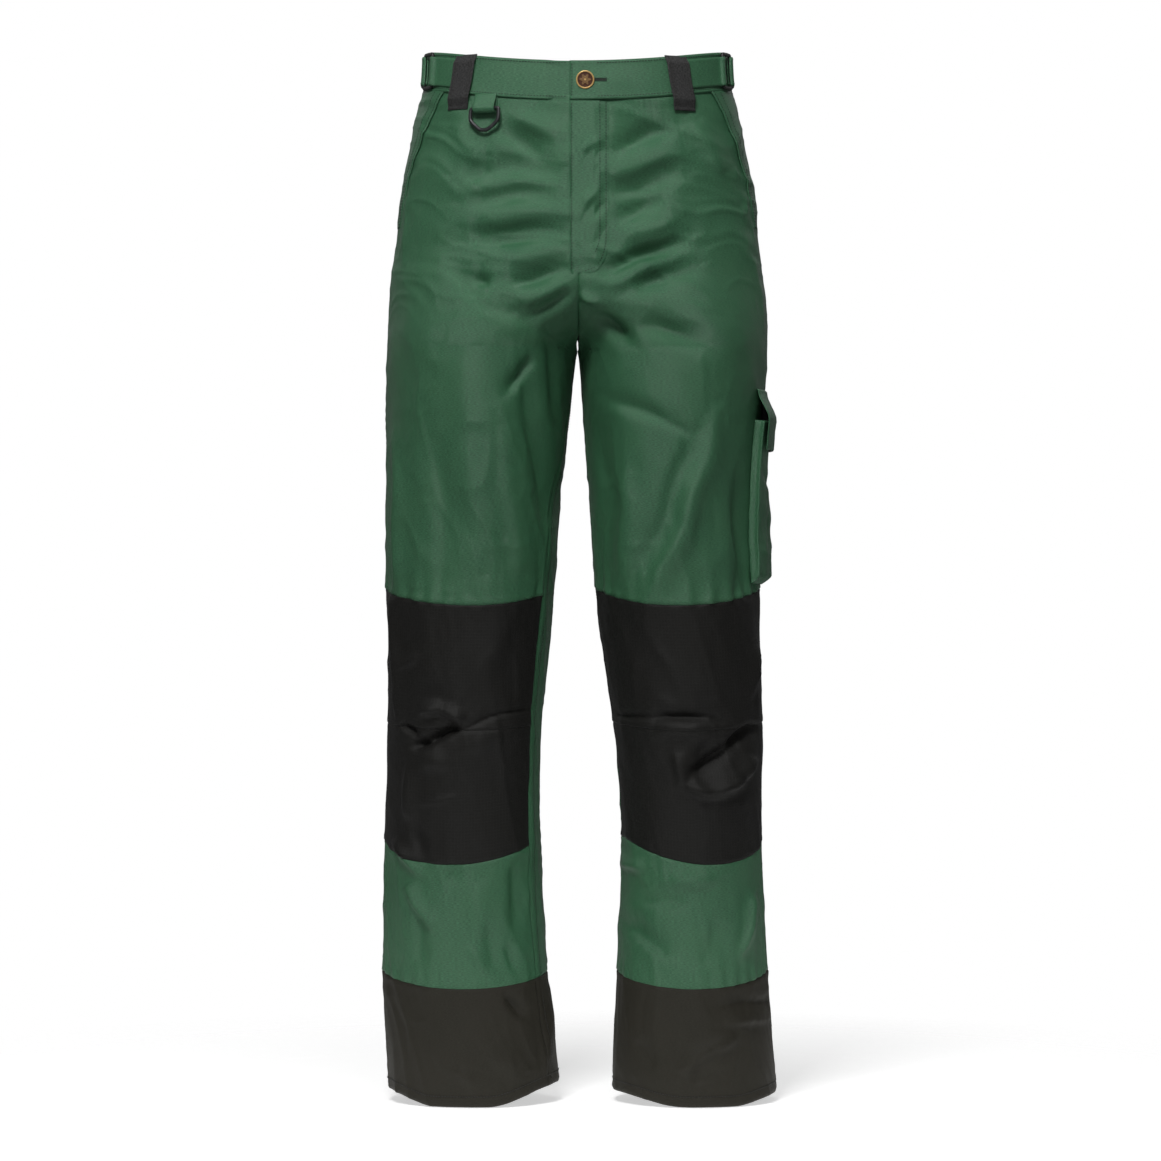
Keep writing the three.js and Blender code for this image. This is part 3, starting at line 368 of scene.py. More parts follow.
def makeMesh(name, points, quads, uv=None, slots=None, finishes=()):
    # points in millimetres; quads as rows of four indices, turning left seen from outside
    mesh = bpy.data.meshes.new(name)
    mesh.vertices.add(len(points))
    mesh.vertices.foreach_set("co", (points * mm).astype(np.float32).ravel())
    mesh.loops.add(quads.size)
    mesh.loops.foreach_set("vertex_index", quads.ravel().astype(np.int32))
    mesh.polygons.add(len(quads))
    mesh.polygons.foreach_set("loop_start", np.arange(0, quads.size, quads.shape[1], dtype=np.int32))
    mesh.polygons.foreach_set("use_smooth", np.ones(len(quads), bool))
    if slots is not None:
        mesh.polygons.foreach_set("material_index", slots.astype(np.int32))
    mesh.update(calc_edges=True)
    if uv is not None:
        layer = mesh.uv_layers.new(name="cloth")
        layer.data.foreach_set("uv", (uv[quads.ravel()] * mm).astype(np.float32).ravel())
    mesh.validate()
    for finish in finishes:
        mesh.materials.append(finish)
    piece = bpy.data.objects.new(name, mesh)
    bpy.context.scene.collection.objects.link(piece)
    return piece


def gridQuads(rows, columns):
    # quads of a lattice of points, turning left about (across x up)
    i, j = np.meshgrid(np.arange(rows - 1), np.arange(columns - 1), indexing="ij")
    a = (i * columns + j).ravel()
    return np.stack([a, a + 1, a + columns + 1, a + columns], 1)


def runLengths(lattice, axis):
    # distance travelled along the lattice, from its middle
    step = np.linalg.norm(np.diff(lattice, axis=axis), axis=-1)
    run = np.insert(np.cumsum(step, axis=axis), 0, 0, axis=axis)
    return run - np.take(run, [run.shape[axis] // 2], axis=axis)


def shell(name, face, out, thick, finish, lining=None, pinch=0.35):
    # a closed sheet: the face, the same face moved in by the thickness, and a rim that is pinched round
    rows, columns = face.shape[:2]
    normal = unit(np.cross(np.gradient(face, axis=1), np.gradient(face, axis=0))) * out
    inner = face - normal * thick
    face = face.copy()
    border = np.zeros((rows, columns), bool)
    border[[0, -1], :] = border[:, [0, -1]] = True
    face[border] -= normal[border] * thick * pinch
    inner[border] += normal[border] * thick * pinch
    quads = gridQuads(rows, columns)
    count = rows * columns
    ring = np.concatenate([
        np.arange(columns), np.arange(1, rows) * columns + columns - 1,
        (rows - 1) * columns + np.arange(columns - 2, -1, -1), np.arange(rows - 2, 0, -1) * columns,
    ])
    after = np.roll(ring, -1)
    rim = np.stack([ring, ring + count, after + count, after], 1)
    flipped = slice(None, None, int(out))
    faces = np.concatenate([quads[:, flipped], quads[:, ::-1][:, flipped] + count, rim[:, flipped]])
    across, up = runLengths(face, 1), runLengths(face, 0)
    uv = np.stack([across.ravel(), up.ravel()], 1)
    slots = np.concatenate([np.zeros(len(quads)), np.ones(len(quads)), np.zeros(len(rim))])
    slots *= lining is not None
    piece = makeMesh(
        name, np.concatenate([face.reshape(-1, 3), inner.reshape(-1, 3)]), faces,
        np.concatenate([uv, uv]), slots, [finish] + ([lining] if lining else []),
    )
    return piece


def flatSize(face):
    # longest run across, longest run up, and the area of the unfolded face
    wide = np.linalg.norm(np.diff(face, axis=1), axis=-1).sum(1).max()
    tall = np.linalg.norm(np.diff(face, axis=0), axis=-1).sum(0).max()
    a, b = face[:-1, 1:] - face[1:, :-1], face[1:, 1:] - face[:-1, :-1]
    area = np.linalg.norm(np.cross(a, b), axis=-1).sum() / 2
    return wide * mm, tall * mm, area * mm * mm


def tailor(piece, body, nodes, smoothFace, blendTo=None):
    # for one piece of cloth: its unfolded size is worked out but not kept, the frame's nodes are hidden,
    # and the piece is attached or baked in place
    wide, tall, area = flatSize(smoothFace)
    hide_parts(*nodes)
    if blendTo:
        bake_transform(piece)
    else:
        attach(piece, body)
    return piece


def place(piece, body, nodes=(), slot=None):
    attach(piece, body)
    if nodes:
        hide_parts(*nodes)
    return piece


class Wire:
    # a shader socket that takes part in arithmetic
    def __init__(self, tree, node, output=0):
        self.tree, self.node, self.output = tree, node, output

    def out(self, output):
        return Wire(self.tree, self.node, output)

    def socket(self):
        return self.node.outputs[self.output]

    def reckon(self, operation, *values):
        return self.tree.node("ShaderNodeMath", {"operation": operation}, dict(enumerate(values)))

    def __add__(self, other):
        return self.reckon("ADD", self, other)

    __radd__ = __add__

    def __mul__(self, other):
        return self.reckon("MULTIPLY", self, other)

    __rmul__ = __mul__

    def __sub__(self, other):
        return self.reckon("SUBTRACT", self, other)

    def __rsub__(self, other):
        return self.reckon("SUBTRACT", other, self)

    def __truediv__(self, other):
        return self.reckon("DIVIDE", self, other)

    def __pow__(self, other):
        return self.reckon("POWER", self, other)

    def __abs__(self):
        return self.reckon("ABSOLUTE", self)

    def sine(self):
        return self.reckon("SINE", self)

    def high(self, other):
        return self.reckon("MAXIMUM", self, other)

    def between(self, low, high):
        # 0 below low, 1 above high, straight between
        return self.tree.node("ShaderNodeMapRange", {"clamp": True}, {0: self, 1: low, 2: high})


class Tree:
    # one material and its nodes
    def __init__(self, name):
        self.material = bpy.data.materials.new(name)
        self.material.use_nodes = True
        self.nodes, self.links = self.material.node_tree.nodes, self.material.node_tree.links
        self.nodes.clear()

    def node(self, kind, settings=None, values=None, output=0):
        made = self.nodes.new(kind)
        for key, setting in (settings or {}).items():
            if key == "stops":
                for stop, (at, colour) in zip(self.stopsOf(made, len(setting)), setting):
                    stop.position, stop.color = at, (*colour, 1)
            else:
                setattr(made, key, setting)
        for key, value in (values or {}).items():
            entry = made.inputs[key]
            if isinstance(value, Wire):
                self.links.new(value.socket(), entry)
            else:
                entry.default_value = value
        return Wire(self, made, output)

    def stopsOf(self, made, count):
        ramp = made.color_ramp
        while len(ramp.elements) < count:
            ramp.elements.new(0.5)
        return ramp.elements

    def blend(self, factor, a, b):
        colours = {6: a if isinstance(a, Wire) else (*a, 1), 7: b if isinstance(b, Wire) else (*b, 1)}
        return self.node("ShaderNodeMix", {"data_type": "RGBA"}, {0: factor, **colours}, 2)

    def noise(self, vector, scale, detail=2.0, roughness=0.5):
        values = {"Vector": vector, "Scale": scale, "Detail": detail, "Roughness": roughness}
        return self.node("ShaderNodeTexNoise", {}, values)

    def stretched(self, vector, x, y, z=1.0):
        return self.node("ShaderNodeMapping", {}, {"Vector": vector, "Scale": (x, y, z)})

    def finish(self, colour, rough, height=None, strength=0.4, distance=0.0003, **constants):
        values = {"Base Color": colour, "Roughness": rough}
        if height is not None:
            bump = {"Height": height, "Strength": strength, "Distance": distance}
            values["Normal"] = self.node("ShaderNodeBump", {}, bump)
        values.update(constants)
        shader = self.node("ShaderNodeBsdfPrincipled", {}, values)
        self.node("ShaderNodeOutputMaterial", {}, {"Surface": shader})
        return self.material


def clothFinish(name, look):
    # weave from sines of the run across and up the cloth, with slubs and cloudy dye
    tree = Tree(name)
    uv = tree.node("ShaderNodeUVMap", {"uv_map": "cloth"})
    parts = tree.node("ShaderNodeSeparateXYZ", {}, {0: uv})
    x, y = parts.out(0), parts.out(1)
    thread = 2 * math.pi / (look["thread"] * mm)
    weave = (x * thread + y * thread * look["twill"]).sine() * (y * thread).sine()
    slub = tree.noise(tree.stretched(uv, look["slub"][0], look["slub"][1]), 1.0, 3.0, 0.6)
    cloud = tree.noise(uv, 14.0, 3.0, 0.55)
    height = weave * 0.5 + slub * look["slubHeight"]
    fleck = slub.between(0.32, 0.68)
    colour = tree.blend(fleck, look["dark"], look["light"])
    colour = tree.blend(cloud.between(0.35, 0.7) * 0.35, colour, look["cloud"])
    if look.get("rip"):
        pitch = math.pi / (look["rip"] * mm)
        line = abs((x * pitch).sine()).high(abs((y * pitch).sine())).between(0.93, 1.0)
        colour = tree.blend(line * 0.35, colour, look["ripColour"])
        height = height + line * 0.7
    rough = look["rough"] + (cloud * -0.08 + fleck * 0.05)
    return tree.finish(
        colour, rough, height, look["bump"], 0.0004, **{
            "Specular IOR Level": look["specular"], "Sheen Weight": look["sheen"],
            "Sheen Roughness": look["sheenRough"], "Sheen Tint": (*look["sheenTint"], 1),
        },
    )


clothLooks = {
    "greenCloth": {
        "thread": 1.1, "twill": 0.0, "slub": (330, 1900), "slubHeight": 1.5, "bump": 0.55,
        "dark": (0.016, 0.063, 0.031), "light": (0.062, 0.196, 0.098), "cloud": (0.056, 0.160, 0.078),
        "rough": 0.40, "specular": 0.38, "sheen": 0.02,
        "sheenRough": 0.45, "sheenTint": (0.55, 0.85, 0.55),
    },
    "blackPatch": {
        "thread": 1.1, "twill": 0.0, "slub": (700, 1100), "slubHeight": 1.0, "bump": 0.35,
        "dark": (0.0070, 0.0068, 0.0058), "light": (0.0140, 0.0136, 0.0118),
        "cloud": (0.013, 0.013, 0.013), "rip": 3.4, "ripColour": (0.020, 0.020, 0.0195),
        "rough": 0.55, "specular": 0.20, "sheen": 0.01, "sheenRough": 0.5, "sheenTint": (0.8, 0.8, 0.85),
    },
    "charcoalHem": {
        "thread": 1.0, "twill": 0.0, "slub": (420, 1300), "slubHeight": 1.0, "bump": 0.30,
        "dark": (0.0185, 0.0170, 0.0120), "light": (0.0290, 0.0270, 0.0200),
        "cloud": (0.030, 0.027, 0.020),
        "rough": 0.62, "specular": 0.20, "sheen": 0.02, "sheenRough": 0.5, "sheenTint": (0.85, 0.8, 0.7),
    },
    "loopWeb": {
        "thread": 1.7, "twill": 1.0, "slub": (500, 500), "slubHeight": 0.8, "bump": 0.9,
        "dark": (0.016, 0.016, 0.016), "light": (0.060, 0.060, 0.060), "cloud": (0.050, 0.050, 0.050),
        "rough": 0.85, "specular": 0.15, "sheen": 0.06, "sheenRough": 0.5, "sheenTint": (0.9, 0.9, 0.9),
    },
    "darkLining": {
        "thread": 0.7, "twill": 1.0, "slub": (300, 900), "slubHeight": 0.5, "bump": 0.2,
        "dark": (0.016, 0.019, 0.018), "light": (0.026, 0.030, 0.028), "cloud": (0.030, 0.033, 0.032),
        "rough": 0.7, "specular": 0.3, "sheen": 0.05, "sheenRough": 0.5, "sheenTint": (0.8, 0.8, 0.8),
    },
    "zipTape": {
        "thread": 1.3, "twill": 1.0, "slub": (600, 600), "slubHeight": 0.6, "bump": 0.6,
        "dark": (0.010, 0.011, 0.011), "light": (0.020, 0.021, 0.021), "cloud": (0.024, 0.024, 0.024),
        "rough": 0.8, "specular": 0.25, "sheen": 0.05, "sheenRough": 0.5, "sheenTint": (0.8, 0.8, 0.8),
    },
}
finishes = {name: clothFinish(name, look) for name, look in clothLooks.items()}


def hardFinish(name, look):
    # metal or moulded plastic: fine cast grain, scuffs that are rougher and paler
    tree = Tree(name)
    place = tree.node("ShaderNodeTexCoord", output=3)
    grain = tree.noise(place, look["grain"], 4.0, 0.6)
    streaks = tree.stretched(place, 1.0, 1.0, 0.25)
    scuff = tree.noise(streaks, look["scuff"], 5.0, 0.65).between(0.52, 0.70)
    colour = tree.blend(grain.between(0.3, 0.7), look["dark"], look["light"])
    colour = tree.blend(scuff * look["wear"], colour, look["worn"])
    rough = look["rough"] + (scuff * 0.14 + grain * 0.10)
    return tree.finish(colour, rough, grain, look["bump"], 0.0002, **{
        "Metallic": look["metal"], "Specular IOR Level": 0.5,
    })


hardLooks = {
    "gunmetal": {
        "dark": (0.020, 0.021, 0.022), "light": (0.032, 0.034, 0.036),
        "worn": (0.12, 0.12, 0.12), "wear": 0.35,
        "grain": 900, "scuff": 260, "rough": 0.34, "bump": 0.25, "metal": 0.25,
    },
    "blackPlastic": {
        "dark": (0.012, 0.012, 0.012), "light": (0.019, 0.019, 0.019),
        "worn": (0.05, 0.05, 0.05), "wear": 0.3,
        "grain": 1500, "scuff": 300, "rough": 0.40, "bump": 0.25, "metal": 0.0,
    },
    # green thread made far darker than the cloth, so the stitch rows also paint the shade along the seams
    # and edges
    "greenThreadPaintedShade": {
        "dark": (0.005, 0.018, 0.009), "light": (0.012, 0.036, 0.019),
        "worn": (0.03, 0.08, 0.04), "wear": 0.3,
        "grain": 2600, "scuff": 700, "rough": 0.55, "bump": 0.4, "metal": 0.0,
    },
    "darkThread": {
        "dark": (0.012, 0.012, 0.011), "light": (0.026, 0.025, 0.022),
        "worn": (0.045, 0.043, 0.038), "wear": 0.4,
        "grain": 2600, "scuff": 700, "rough": 0.6, "bump": 0.4, "metal": 0.0,
    },
}
finishes.update({name: hardFinish(name, look) for name, look in hardLooks.items()})


def brassFinish():
    # old brass: bright where the relief stands high, red-brown and dull in the hollows
    tree = Tree("oldBrass")
    place = tree.node("ShaderNodeTexCoord", output=3)
    high = tree.node("ShaderNodeAttribute", {"attribute_name": "relief"}, output=2)
    grain = tree.noise(place, 1400, 4.0, 0.6)
    bright = (high + (grain - 0.5) * 0.5).between(0.25, 0.85)
    colour = tree.blend(bright, (0.060, 0.020, 0.008), (0.56, 0.36, 0.13))
    return tree.finish(colour, 0.62 - bright * 0.32, grain, 0.3, 0.0002, **{"Metallic": 0.4})


finishes["oldBrass"] = brassFinish()
green, lining = finishes["greenCloth"], finishes["darkLining"]
print("materials made:", len(finishes))


def frontStart(side, z):
    # the front edge of a front panel: centre front or fly above the crotch, the inseam below
    g = garment
    flyFoot = g["sideTop"] - g["frontDrop"] - g["bandHeight"] - 177
    lapped = (0.1 if side > 0 else -2.6) * smooth(z, g["crotch"] - 4, g["crotch"] + 6)
    reach = 0.1 + lapped + (-1 if side < 0 else 14) * smooth(z, flyFoot, flyFoot + 15)
    return frontAngle(side, reach, z) + inseam(side, z) + np.pi


def inseam(side, z):
    g = garment
    return -np.pi + g["inseamTurn"][side] * smooth(-z, -g["crotch"], -g["kneeTop"])


def backEnd(side, z):
    return -frontAngle(side, 0.2, z) + inseam(side, z) + np.pi


def sideSeam(side, z):
    return garment["sideSeam"] * np.ones_like(z)


def hemFoot(side):
    # the hem rests on the floor in front and rises towards both seams
    inner, outer = garment["hemRise"][side]
    return lambda a: (
        inner * smooth(-np.cos(a), 0.15, 1.05) + outer * smooth(np.cos(a), 0.45, 1.05)
        + 3 * smooth(np.sin(a), 0.2, 1)
    )


def sewnPanel(name, node, side, low, high, start, end, laps, finish, slot, step=2.6, sink=1.7):
    # the cloth between two seams and two heights; laps say on which edges it runs on under its neighbour
    g = garment
    rows = int((np.mean(high(0.0)) - np.mean(low(0.0))) / step) + 2
    columns = int(250 / step)
    under = {key: key in laps for key in ("low", "high", "start", "end")}
    height = float(np.mean(high(0.0)) - np.mean(low(0.0)))
    v0 = -g["lap"] / height if under["low"] else 0
    v1 = 1 + g["lap"] / height if under["high"] else 1
    u, v = grid(columns, rows, 0, 1, v0, v1)
    z = mix(low(0.0), high(0.0), v)
    for _ in range(5):
        stretch = np.linalg.norm(facePoint(side, 0.51, z) - facePoint(side, 0.5, z), axis=-1) * 100
        lapTurn = g["lap"] / stretch
        a0 = start(side, z) - (lapTurn if under["start"] else 0)
        a1 = end(side, z) + (lapTurn if under["end"] else 0)
        angle = mix(a0, a1, u)
        z = mix(low(angle), high(angle), v)
    span = high(angle) - low(angle)
    inside = {
        "low": v * span, "high": (1 - v) * span,
        "start": (angle - start(side, z)) * stretch, "end": (end(side, z) - angle) * stretch,
    }
    lift = np.zeros_like(z)
    for key, depth in inside.items():
        if under[key]:
            lift -= (sink if key == "high" else 1.7) * (1 - smooth(depth, -1.2, 0.6))
        else:
            ridge = 0.35 * smooth(depth, 0, 1.2) * (1 - smooth(depth, 5, 9))
            lift += ridge - 0.3 * (1 - smooth(depth, 0, 1.0))
    face = clothPoint(side, angle, z, lift)
    plain = facePoint(side, angle, z)
    face[..., 2] = np.maximum(face[..., 2], 0.05)
    piece = shell(name, face, side, g["cloth"], finish, lining)
    return tailor(piece, "trousers", [node], plain)


slotOf = {"charcoalHem": "charcoal_hem", "greenCloth": "green_cloth", "blackPatch": "black_patch"}


def makePanels(side):
    g, who, foot = garment, names[side], hemFoot(side)
    hemSeam, kneeSeam = dipped(g["hemTop"], g["hemDip"]), dipped(g["kneeSeam"], g["kneeSeamDip"])
    kneeFoot = dipped(g["kneeFoot"], g["kneeFootDip"], g["kneeSwing"][side])
    kneeTop = dipped(g["kneeTop"], g["kneeTopDip"])
    front, back = (frontStart, sideSeam), (sideSeam, backEnd)
    every = ("low", "high", "start", "end")
    # piece, CAD node, lower and upper seam, first and last edge, laps, cloth, then mesh size and sink
    plan = [
        ("hemFront", "hem_front", foot, hemSeam, front, (), "charcoalHem"),
        ("hemBack", "hem_back", foot, hemSeam, back, ("start", "end"), "charcoalHem"),
        ("calfFront", "calf_front", hemSeam, kneeFoot, front, ("low", "high"), "greenCloth"),
        ("kneeLower", "knee_lower", kneeFoot, kneeSeam, front, ("high",), "blackPatch"),
        ("kneeUpper", "knee_upper", kneeSeam, kneeTop, front, ("high",), "blackPatch"),
        ("front", "front", kneeTop, bandFoot, front, ("high",), "greenCloth", 2.4, 0.45),
        ("back", "back", hemSeam, bandFoot, back, every, "greenCloth", 2.9, 0.45),
    ]
    for name, node, low, high, ends, laps, cloth, *sizes in plan:
        sewnPanel(
            f"{name}.{who}", f"{node}_{who}", side, low, high, *ends, laps,
            finishes[cloth], slotOf[cloth], *sizes,
        )


for side in (1, -1):
    makePanels(side)
print("leg and hip panels made")

waist = {
    "stand": 1.3,  # how far the band stands off the panels
    "flyEdge": -8, "underlapEnd": 34, "thick": 1.6, "ridge": 0.7,
    "stepBack": 2.7, "stepStart": 20, "stepRun": 14,  # the right end goes under the left one
}


def bandFace(side, angle, v, lift):
    z = bandFoot(angle) - 0.6 + v * (garment["bandHeight"] + 0.6)
    # a ridge along the foot of the band and a lower one along its top
    ridge = waist["ridge"] * np.exp(-(((v - 0.045) / 0.04) ** 2))
    ridge = ridge + 0.35 * np.exp(-(((v - 0.95) / 0.04) ** 2))
    soft = 0.5 * np.sin(angle * 21 + v * 2) * np.exp(-(((v - 0.2) / 0.25) ** 2))
    soft += 0.9 * crumple(angle * 110 + 40 * v, z, 17, 40, 60) * np.sin(np.pi * np.clip(v, 0, 1))
    x = facePoint(side, angle, z)[..., 0]
    overFly = 2.0 * smooth(x, -30, -7) * (1 - smooth(x, 26, 60)) * (1 - smooth(v, 0.35, 0.9))
    return clothPoint(side, angle, z, lift + ridge + soft * 0.6 + overFly * (side > 0), 0.0)


def frontBand(side, startX, u, v):
    # from a place on the front, which may be past the centre plane, round to the side seam
    z = bandFoot(turn(-90)) + v * garment["bandHeight"]
    return mix(frontAngle(1, startX, z), sideSeam(side, z), u)


def makeWaistband():
    w, g = waist, garment
    u, v = grid(150, 26)
    angle = frontBand(1, w["flyEdge"], u, v)
    face = bandFace(1, angle, v, w["stand"] - 0.5 * (1 - smooth(u, 0, 0.012)))
    piece = shell("waistband.left", face, 1, w["thick"], green, lining)
    tailor(piece, "trousers", ["waistband_left"], face)
    angle = frontBand(-1, -w["underlapEnd"], u, v)
    x = -facePoint(1, angle, bandFoot(turn(-90)) + v * g["bandHeight"])[..., 0]
    sunk = w["stepBack"] * (1 - smooth(-x, w["stepStart"], w["stepStart"] + w["stepRun"]))
    face = bandFace(-1, angle, v, w["stand"] - sunk)
    piece = shell("waistband.right", face, -1, w["thick"], green, lining)
    tailor(piece, "trousers", ["waistband_right"], face)
    u, v = grid(190, 26, -1, 1)
    lean = mix(turn(90), g["sideSeam"], np.abs(u))
    right, left = bandFace(-1, lean, v, w["stand"]), bandFace(1, lean, v, w["stand"])
    face = np.where((u < 0)[..., None], right, left)
    face[..., 0] = np.where(np.abs(u) < 1e-6, 0, face[..., 0])
    piece = shell("waistband.back", face, -1, w["thick"], green, lining)
    tailor(piece, "trousers", ["waistband_back"], face)


makeWaistband()

loops = {
    "width": 25, "tail": 16.5, "room": 7.0, "lean": 5, "thick": 1.8,
    "front": {-1: 115, 1: 102}, "back": 92,
}


def loopFace(side, middle, lean, u, v):
    # a strip sewn down at both ends that stands clear of the band between them
    top = bandTop(middle)
    z = top - 0.4 - (garment["bandHeight"] + loops["tail"] - 0.4) * (1 - v)
    step = facePoint(side, middle + 0.01, z) - facePoint(side, middle, z)
    stretch = np.linalg.norm(step, axis=-1) * 100
    angle = middle + ((u - 0.5) * loops["width"] - lean * (v - 0.5)) / stretch
    rise = np.minimum(smooth(v, 0.03, 0.22), 1 - smooth(v, 0.84, 0.99))
    lift = 2.0 + rise * loops["room"] * 0.62 + 0.25 * np.cos((u - 0.5) * 2 * np.pi * 2)
    return clothPoint(side, angle, z, lift, 0.0)


def makeLoop(name, node, side, middle, lean):
    u, v = grid(22, 48)
    face = loopFace(side, middle, lean, u, v)
    piece = shell(name, face, side, loops["thick"], finishes["loopWeb"], pinch=0.45)
    tailor(piece, "trousers", [node], face)


bandMiddle = float(bandTop(turn(-45)) - garment["bandHeight"] / 2)
loopAngles = {}
for side in (1, -1):
    loopAngles[side] = float(frontAngle(side, loops["front"][side], bandMiddle))
    loopAngles[side, "back"] = -float(frontAngle(side, loops["back"], bandMiddle))
    who = names[side]
    makeLoop(f"beltLoopFront.{who}", f"belt_loop_front_{who}", side, loopAngles[side], loops["lean"])
    makeLoop(f"beltLoopBack.{who}", f"belt_loop_back_{who}", side, loopAngles[side, "back"], 0)
makeLoop("beltLoopBack.centre", "belt_loop_back_centre", 1, turn(90), 0)
print("waistband and loops made")


def curve(points, count):
    # Catmull-Rom through the points, at even parameters
    p = np.asarray(points, float)
    p = np.concatenate([[2 * p[0] - p[1]], p, [2 * p[-1] - p[-2]]])
    s = np.linspace(0, len(p) - 3 - 1e-9, count)
    i = s.astype(int)
    t = (s - i)[:, None]
    a, b, c, d = p[i], p[i + 1], p[i + 2], p[i + 3]
    square, cube = 2 * a - 5 * b + 4 * c - d, 3 * b - a - 3 * c + d
    return 0.5 * (2 * b + (c - a) * t + square * t**2 + cube * t**3)


def standAt(side, angle, z, lift):
    # a place on the cloth with its own sideways, outward and upward directions
    out = outward(side, angle, z)
    sideways = unit(np.cross([0.0, 0, 1], out))
    return facePoint(side, angle, z) + out * lift, sideways, out, np.cross(out, sideways)


def sweep(name, path, out, halfWide, halfDeep, square, finish, sides=14):
    # a section carried round a closed path: cos and sin raised to a power under 1 square it off
    path = np.asarray(path, float)
    across = unit(np.cross(unit(np.roll(path, -1, 0) - np.roll(path, 1, 0)), out))
    a = np.linspace(0, 2 * np.pi, sides, endpoint=False)
    c, s = (np.sign(f) * np.abs(f) ** square for f in (np.cos(a), np.sin(a)))
    ring = across[:, None] * (c * halfWide)[None, :, None] + (out * (s * halfDeep)[:, None])[None]
    points = path[:, None] + ring
    rows, columns = points.shape[:2]
    i, j = np.meshgrid(np.arange(rows), np.arange(columns), indexing="ij")
    here, ahead, j2 = i * columns, (i + 1) % rows * columns, (j + 1) % columns
    quads = np.stack([here + j, here + j2, ahead + j2, ahead + j], -1).reshape(-1, 4)
    return makeMesh(name, points.reshape(-1, 3), quads, finishes=[finish])


adjuster = {
    "strap": 30, "thick": 1.5, "ringAt": turn(-17), "ring": (22, 38), "bar": 3.6, "ringThick": 3,
    "tailTurn": turn(26), "lift": 2.6,
}


def strapFace(side, angle, v, lift):
    z = bandFoot(angle) + garment["bandHeight"] / 2 + (v - 0.5) * adjuster["strap"]
    return clothPoint(side, angle, z, lift, 0.0)


def makeAdjuster(side):
    a, who = adjuster, names[side]
    middleZ = float(bandTop(a["ringAt"]) - garment["bandHeight"] / 2)

    def stretchAt(t):
        step = facePoint(side, t + 0.01, middleZ) - facePoint(side, t, middleZ)
        return float(np.linalg.norm(step) * 100)

    loopStretch, ringStretch = stretchAt(loopAngles[side]), stretchAt(a["ringAt"])
    tabStart = loopAngles[side] + (loops["width"] / 2 - 6) / loopStretch
    barTurn = (a["ring"][0] / 2 - a["bar"] / 2) / ringStretch
    ringLift = a["lift"] + a["ringThick"] / 2
    millimetre = 1 / ringStretch
    hemSeamLine = 0.35

    def strip(name, node, profile, rows=16, body="trousers", blendTo=None, wide=1.0):
        # a strap whose run is a line of angles and lifts, carried up the height of the strap
        line = curve(profile, 70)
        v = np.linspace(0.5 - wide / 2, 0.5 + wide / 2, rows + 1)
        angle, lift = np.meshgrid(line[:, 0], v)[0], np.meshgrid(line[:, 1], v)[0]
        height = np.meshgrid(line[:, 0], v)[1]
        edge = np.minimum(height - v[0], v[-1] - height) * a["strap"]
        ridge = hemSeamLine * np.exp(-(((edge - 1.2) / 1.1) ** 2))
        face = strapFace(side, angle, height, lift + ridge)
        piece = shell(name, face, side, a["thick"], green)
        tailor(piece, body, [node], face, blendTo)
        return face

    front = a["ringAt"] - barTurn
    rear = a["ringAt"] + barTurn
    strip(f"adjusterTab.{who}", f"adjuster_tab_{who}", [
        (tabStart, 2.6), (mix(tabStart, front, 0.55), 2.7), (front - 5 * millimetre, 3.6),
        (front - 2.2 * millimetre, ringLift + 2.6), (front, ringLift + 3.4),
        (front + 2.6 * millimetre, ringLift + 2.2), (front + 3.2 * millimetre, ringLift - 0.4),
        (front + 3.0 * millimetre, 3.0),
    ])
    backEdge = loopAngles[side, "back"] - (loops["width"] / 2 - 6) / loopStretch
    strip(f"adjusterStrap.{who}", f"adjuster_strap_{who}", [
        (rear - 3.2 * millimetre, ringLift - 0.6), (rear - 1.0 * millimetre, 2.7),
        (rear + 6 * millimetre, 2.5), (mix(rear, backEdge, 0.3), 2.5),
        (mix(rear, backEdge, 0.65), 2.5), (backEdge, 2.5),
    ], wide=0.92)
    tailStart = a["ringAt"] + (a["ring"][0] / 2 - a["bar"]) / ringStretch
    tailEnd = tailStart + a["tailTurn"]
    base = [strapFace(side, tailStart + d * millimetre, 0.5, 7.0) * mm for d in (1, 9)]
    strip(f"adjusterTail.{who}", f"adjuster_tail_{who}", [
        (tailStart - 1.6 * millimetre, ringLift + 0.6), (tailStart - 0.4 * millimetre, ringLift + 2.6),
        (rear + 0.4 * millimetre, ringLift + 3.5), (rear + 3 * millimetre, ringLift + 3.0),
        (rear + 7 * millimetre, 5.6), (mix(rear, tailEnd, 0.45), 4.7),
        (mix(rear, tailEnd, 0.75), 4.6), (tailEnd, 4.9),
    ], body=f"strap_end_{who}", blendTo=base)

    centre, sideways, out, up = standAt(side, a["ringAt"], middleZ, ringLift)
    wide, tall = (a["ring"][0] - a["bar"]) / 2, (a["ring"][1] - a["bar"]) / 2
    corner = 2.0
    t = np.linspace(0, np.pi / 2, 6)
    quarter = np.stack([np.cos(t), np.sin(t)], 1) * corner
    spots = []
    for cx, cy, k in ((1, 1, 0), (-1, 1, 1), (-1, -1, 2), (1, -1, 3)):
        c, s = np.cos(k * np.pi / 2), np.sin(k * np.pi / 2)
        middle = [cx * (wide - corner), cy * (tall - corner)]
        spots.append(quarter @ np.array([[c, s], [-s, c]]) + middle)
    spots = np.concatenate(spots)
    path = centre + spots[:, :1] * sideways + spots[:, 1:] * up
    plastic, bar = finishes["blackPlastic"], a["bar"] / 2
    ring = sweep(f"adjusterRing.{who}", path, out, bar, a["ringThick"] / 2, 0.55, plastic)
    place(ring, "trousers", [f"adjuster_ring_{who}"], "black_plastic")


for side in (1, -1):
    makeAdjuster(side)

dRing = {"x": 92, "drop": 14, "half": 15.4, "bar": 3.8, "foot": -22.4, "tab": 24, "tabCloth": 1.4}


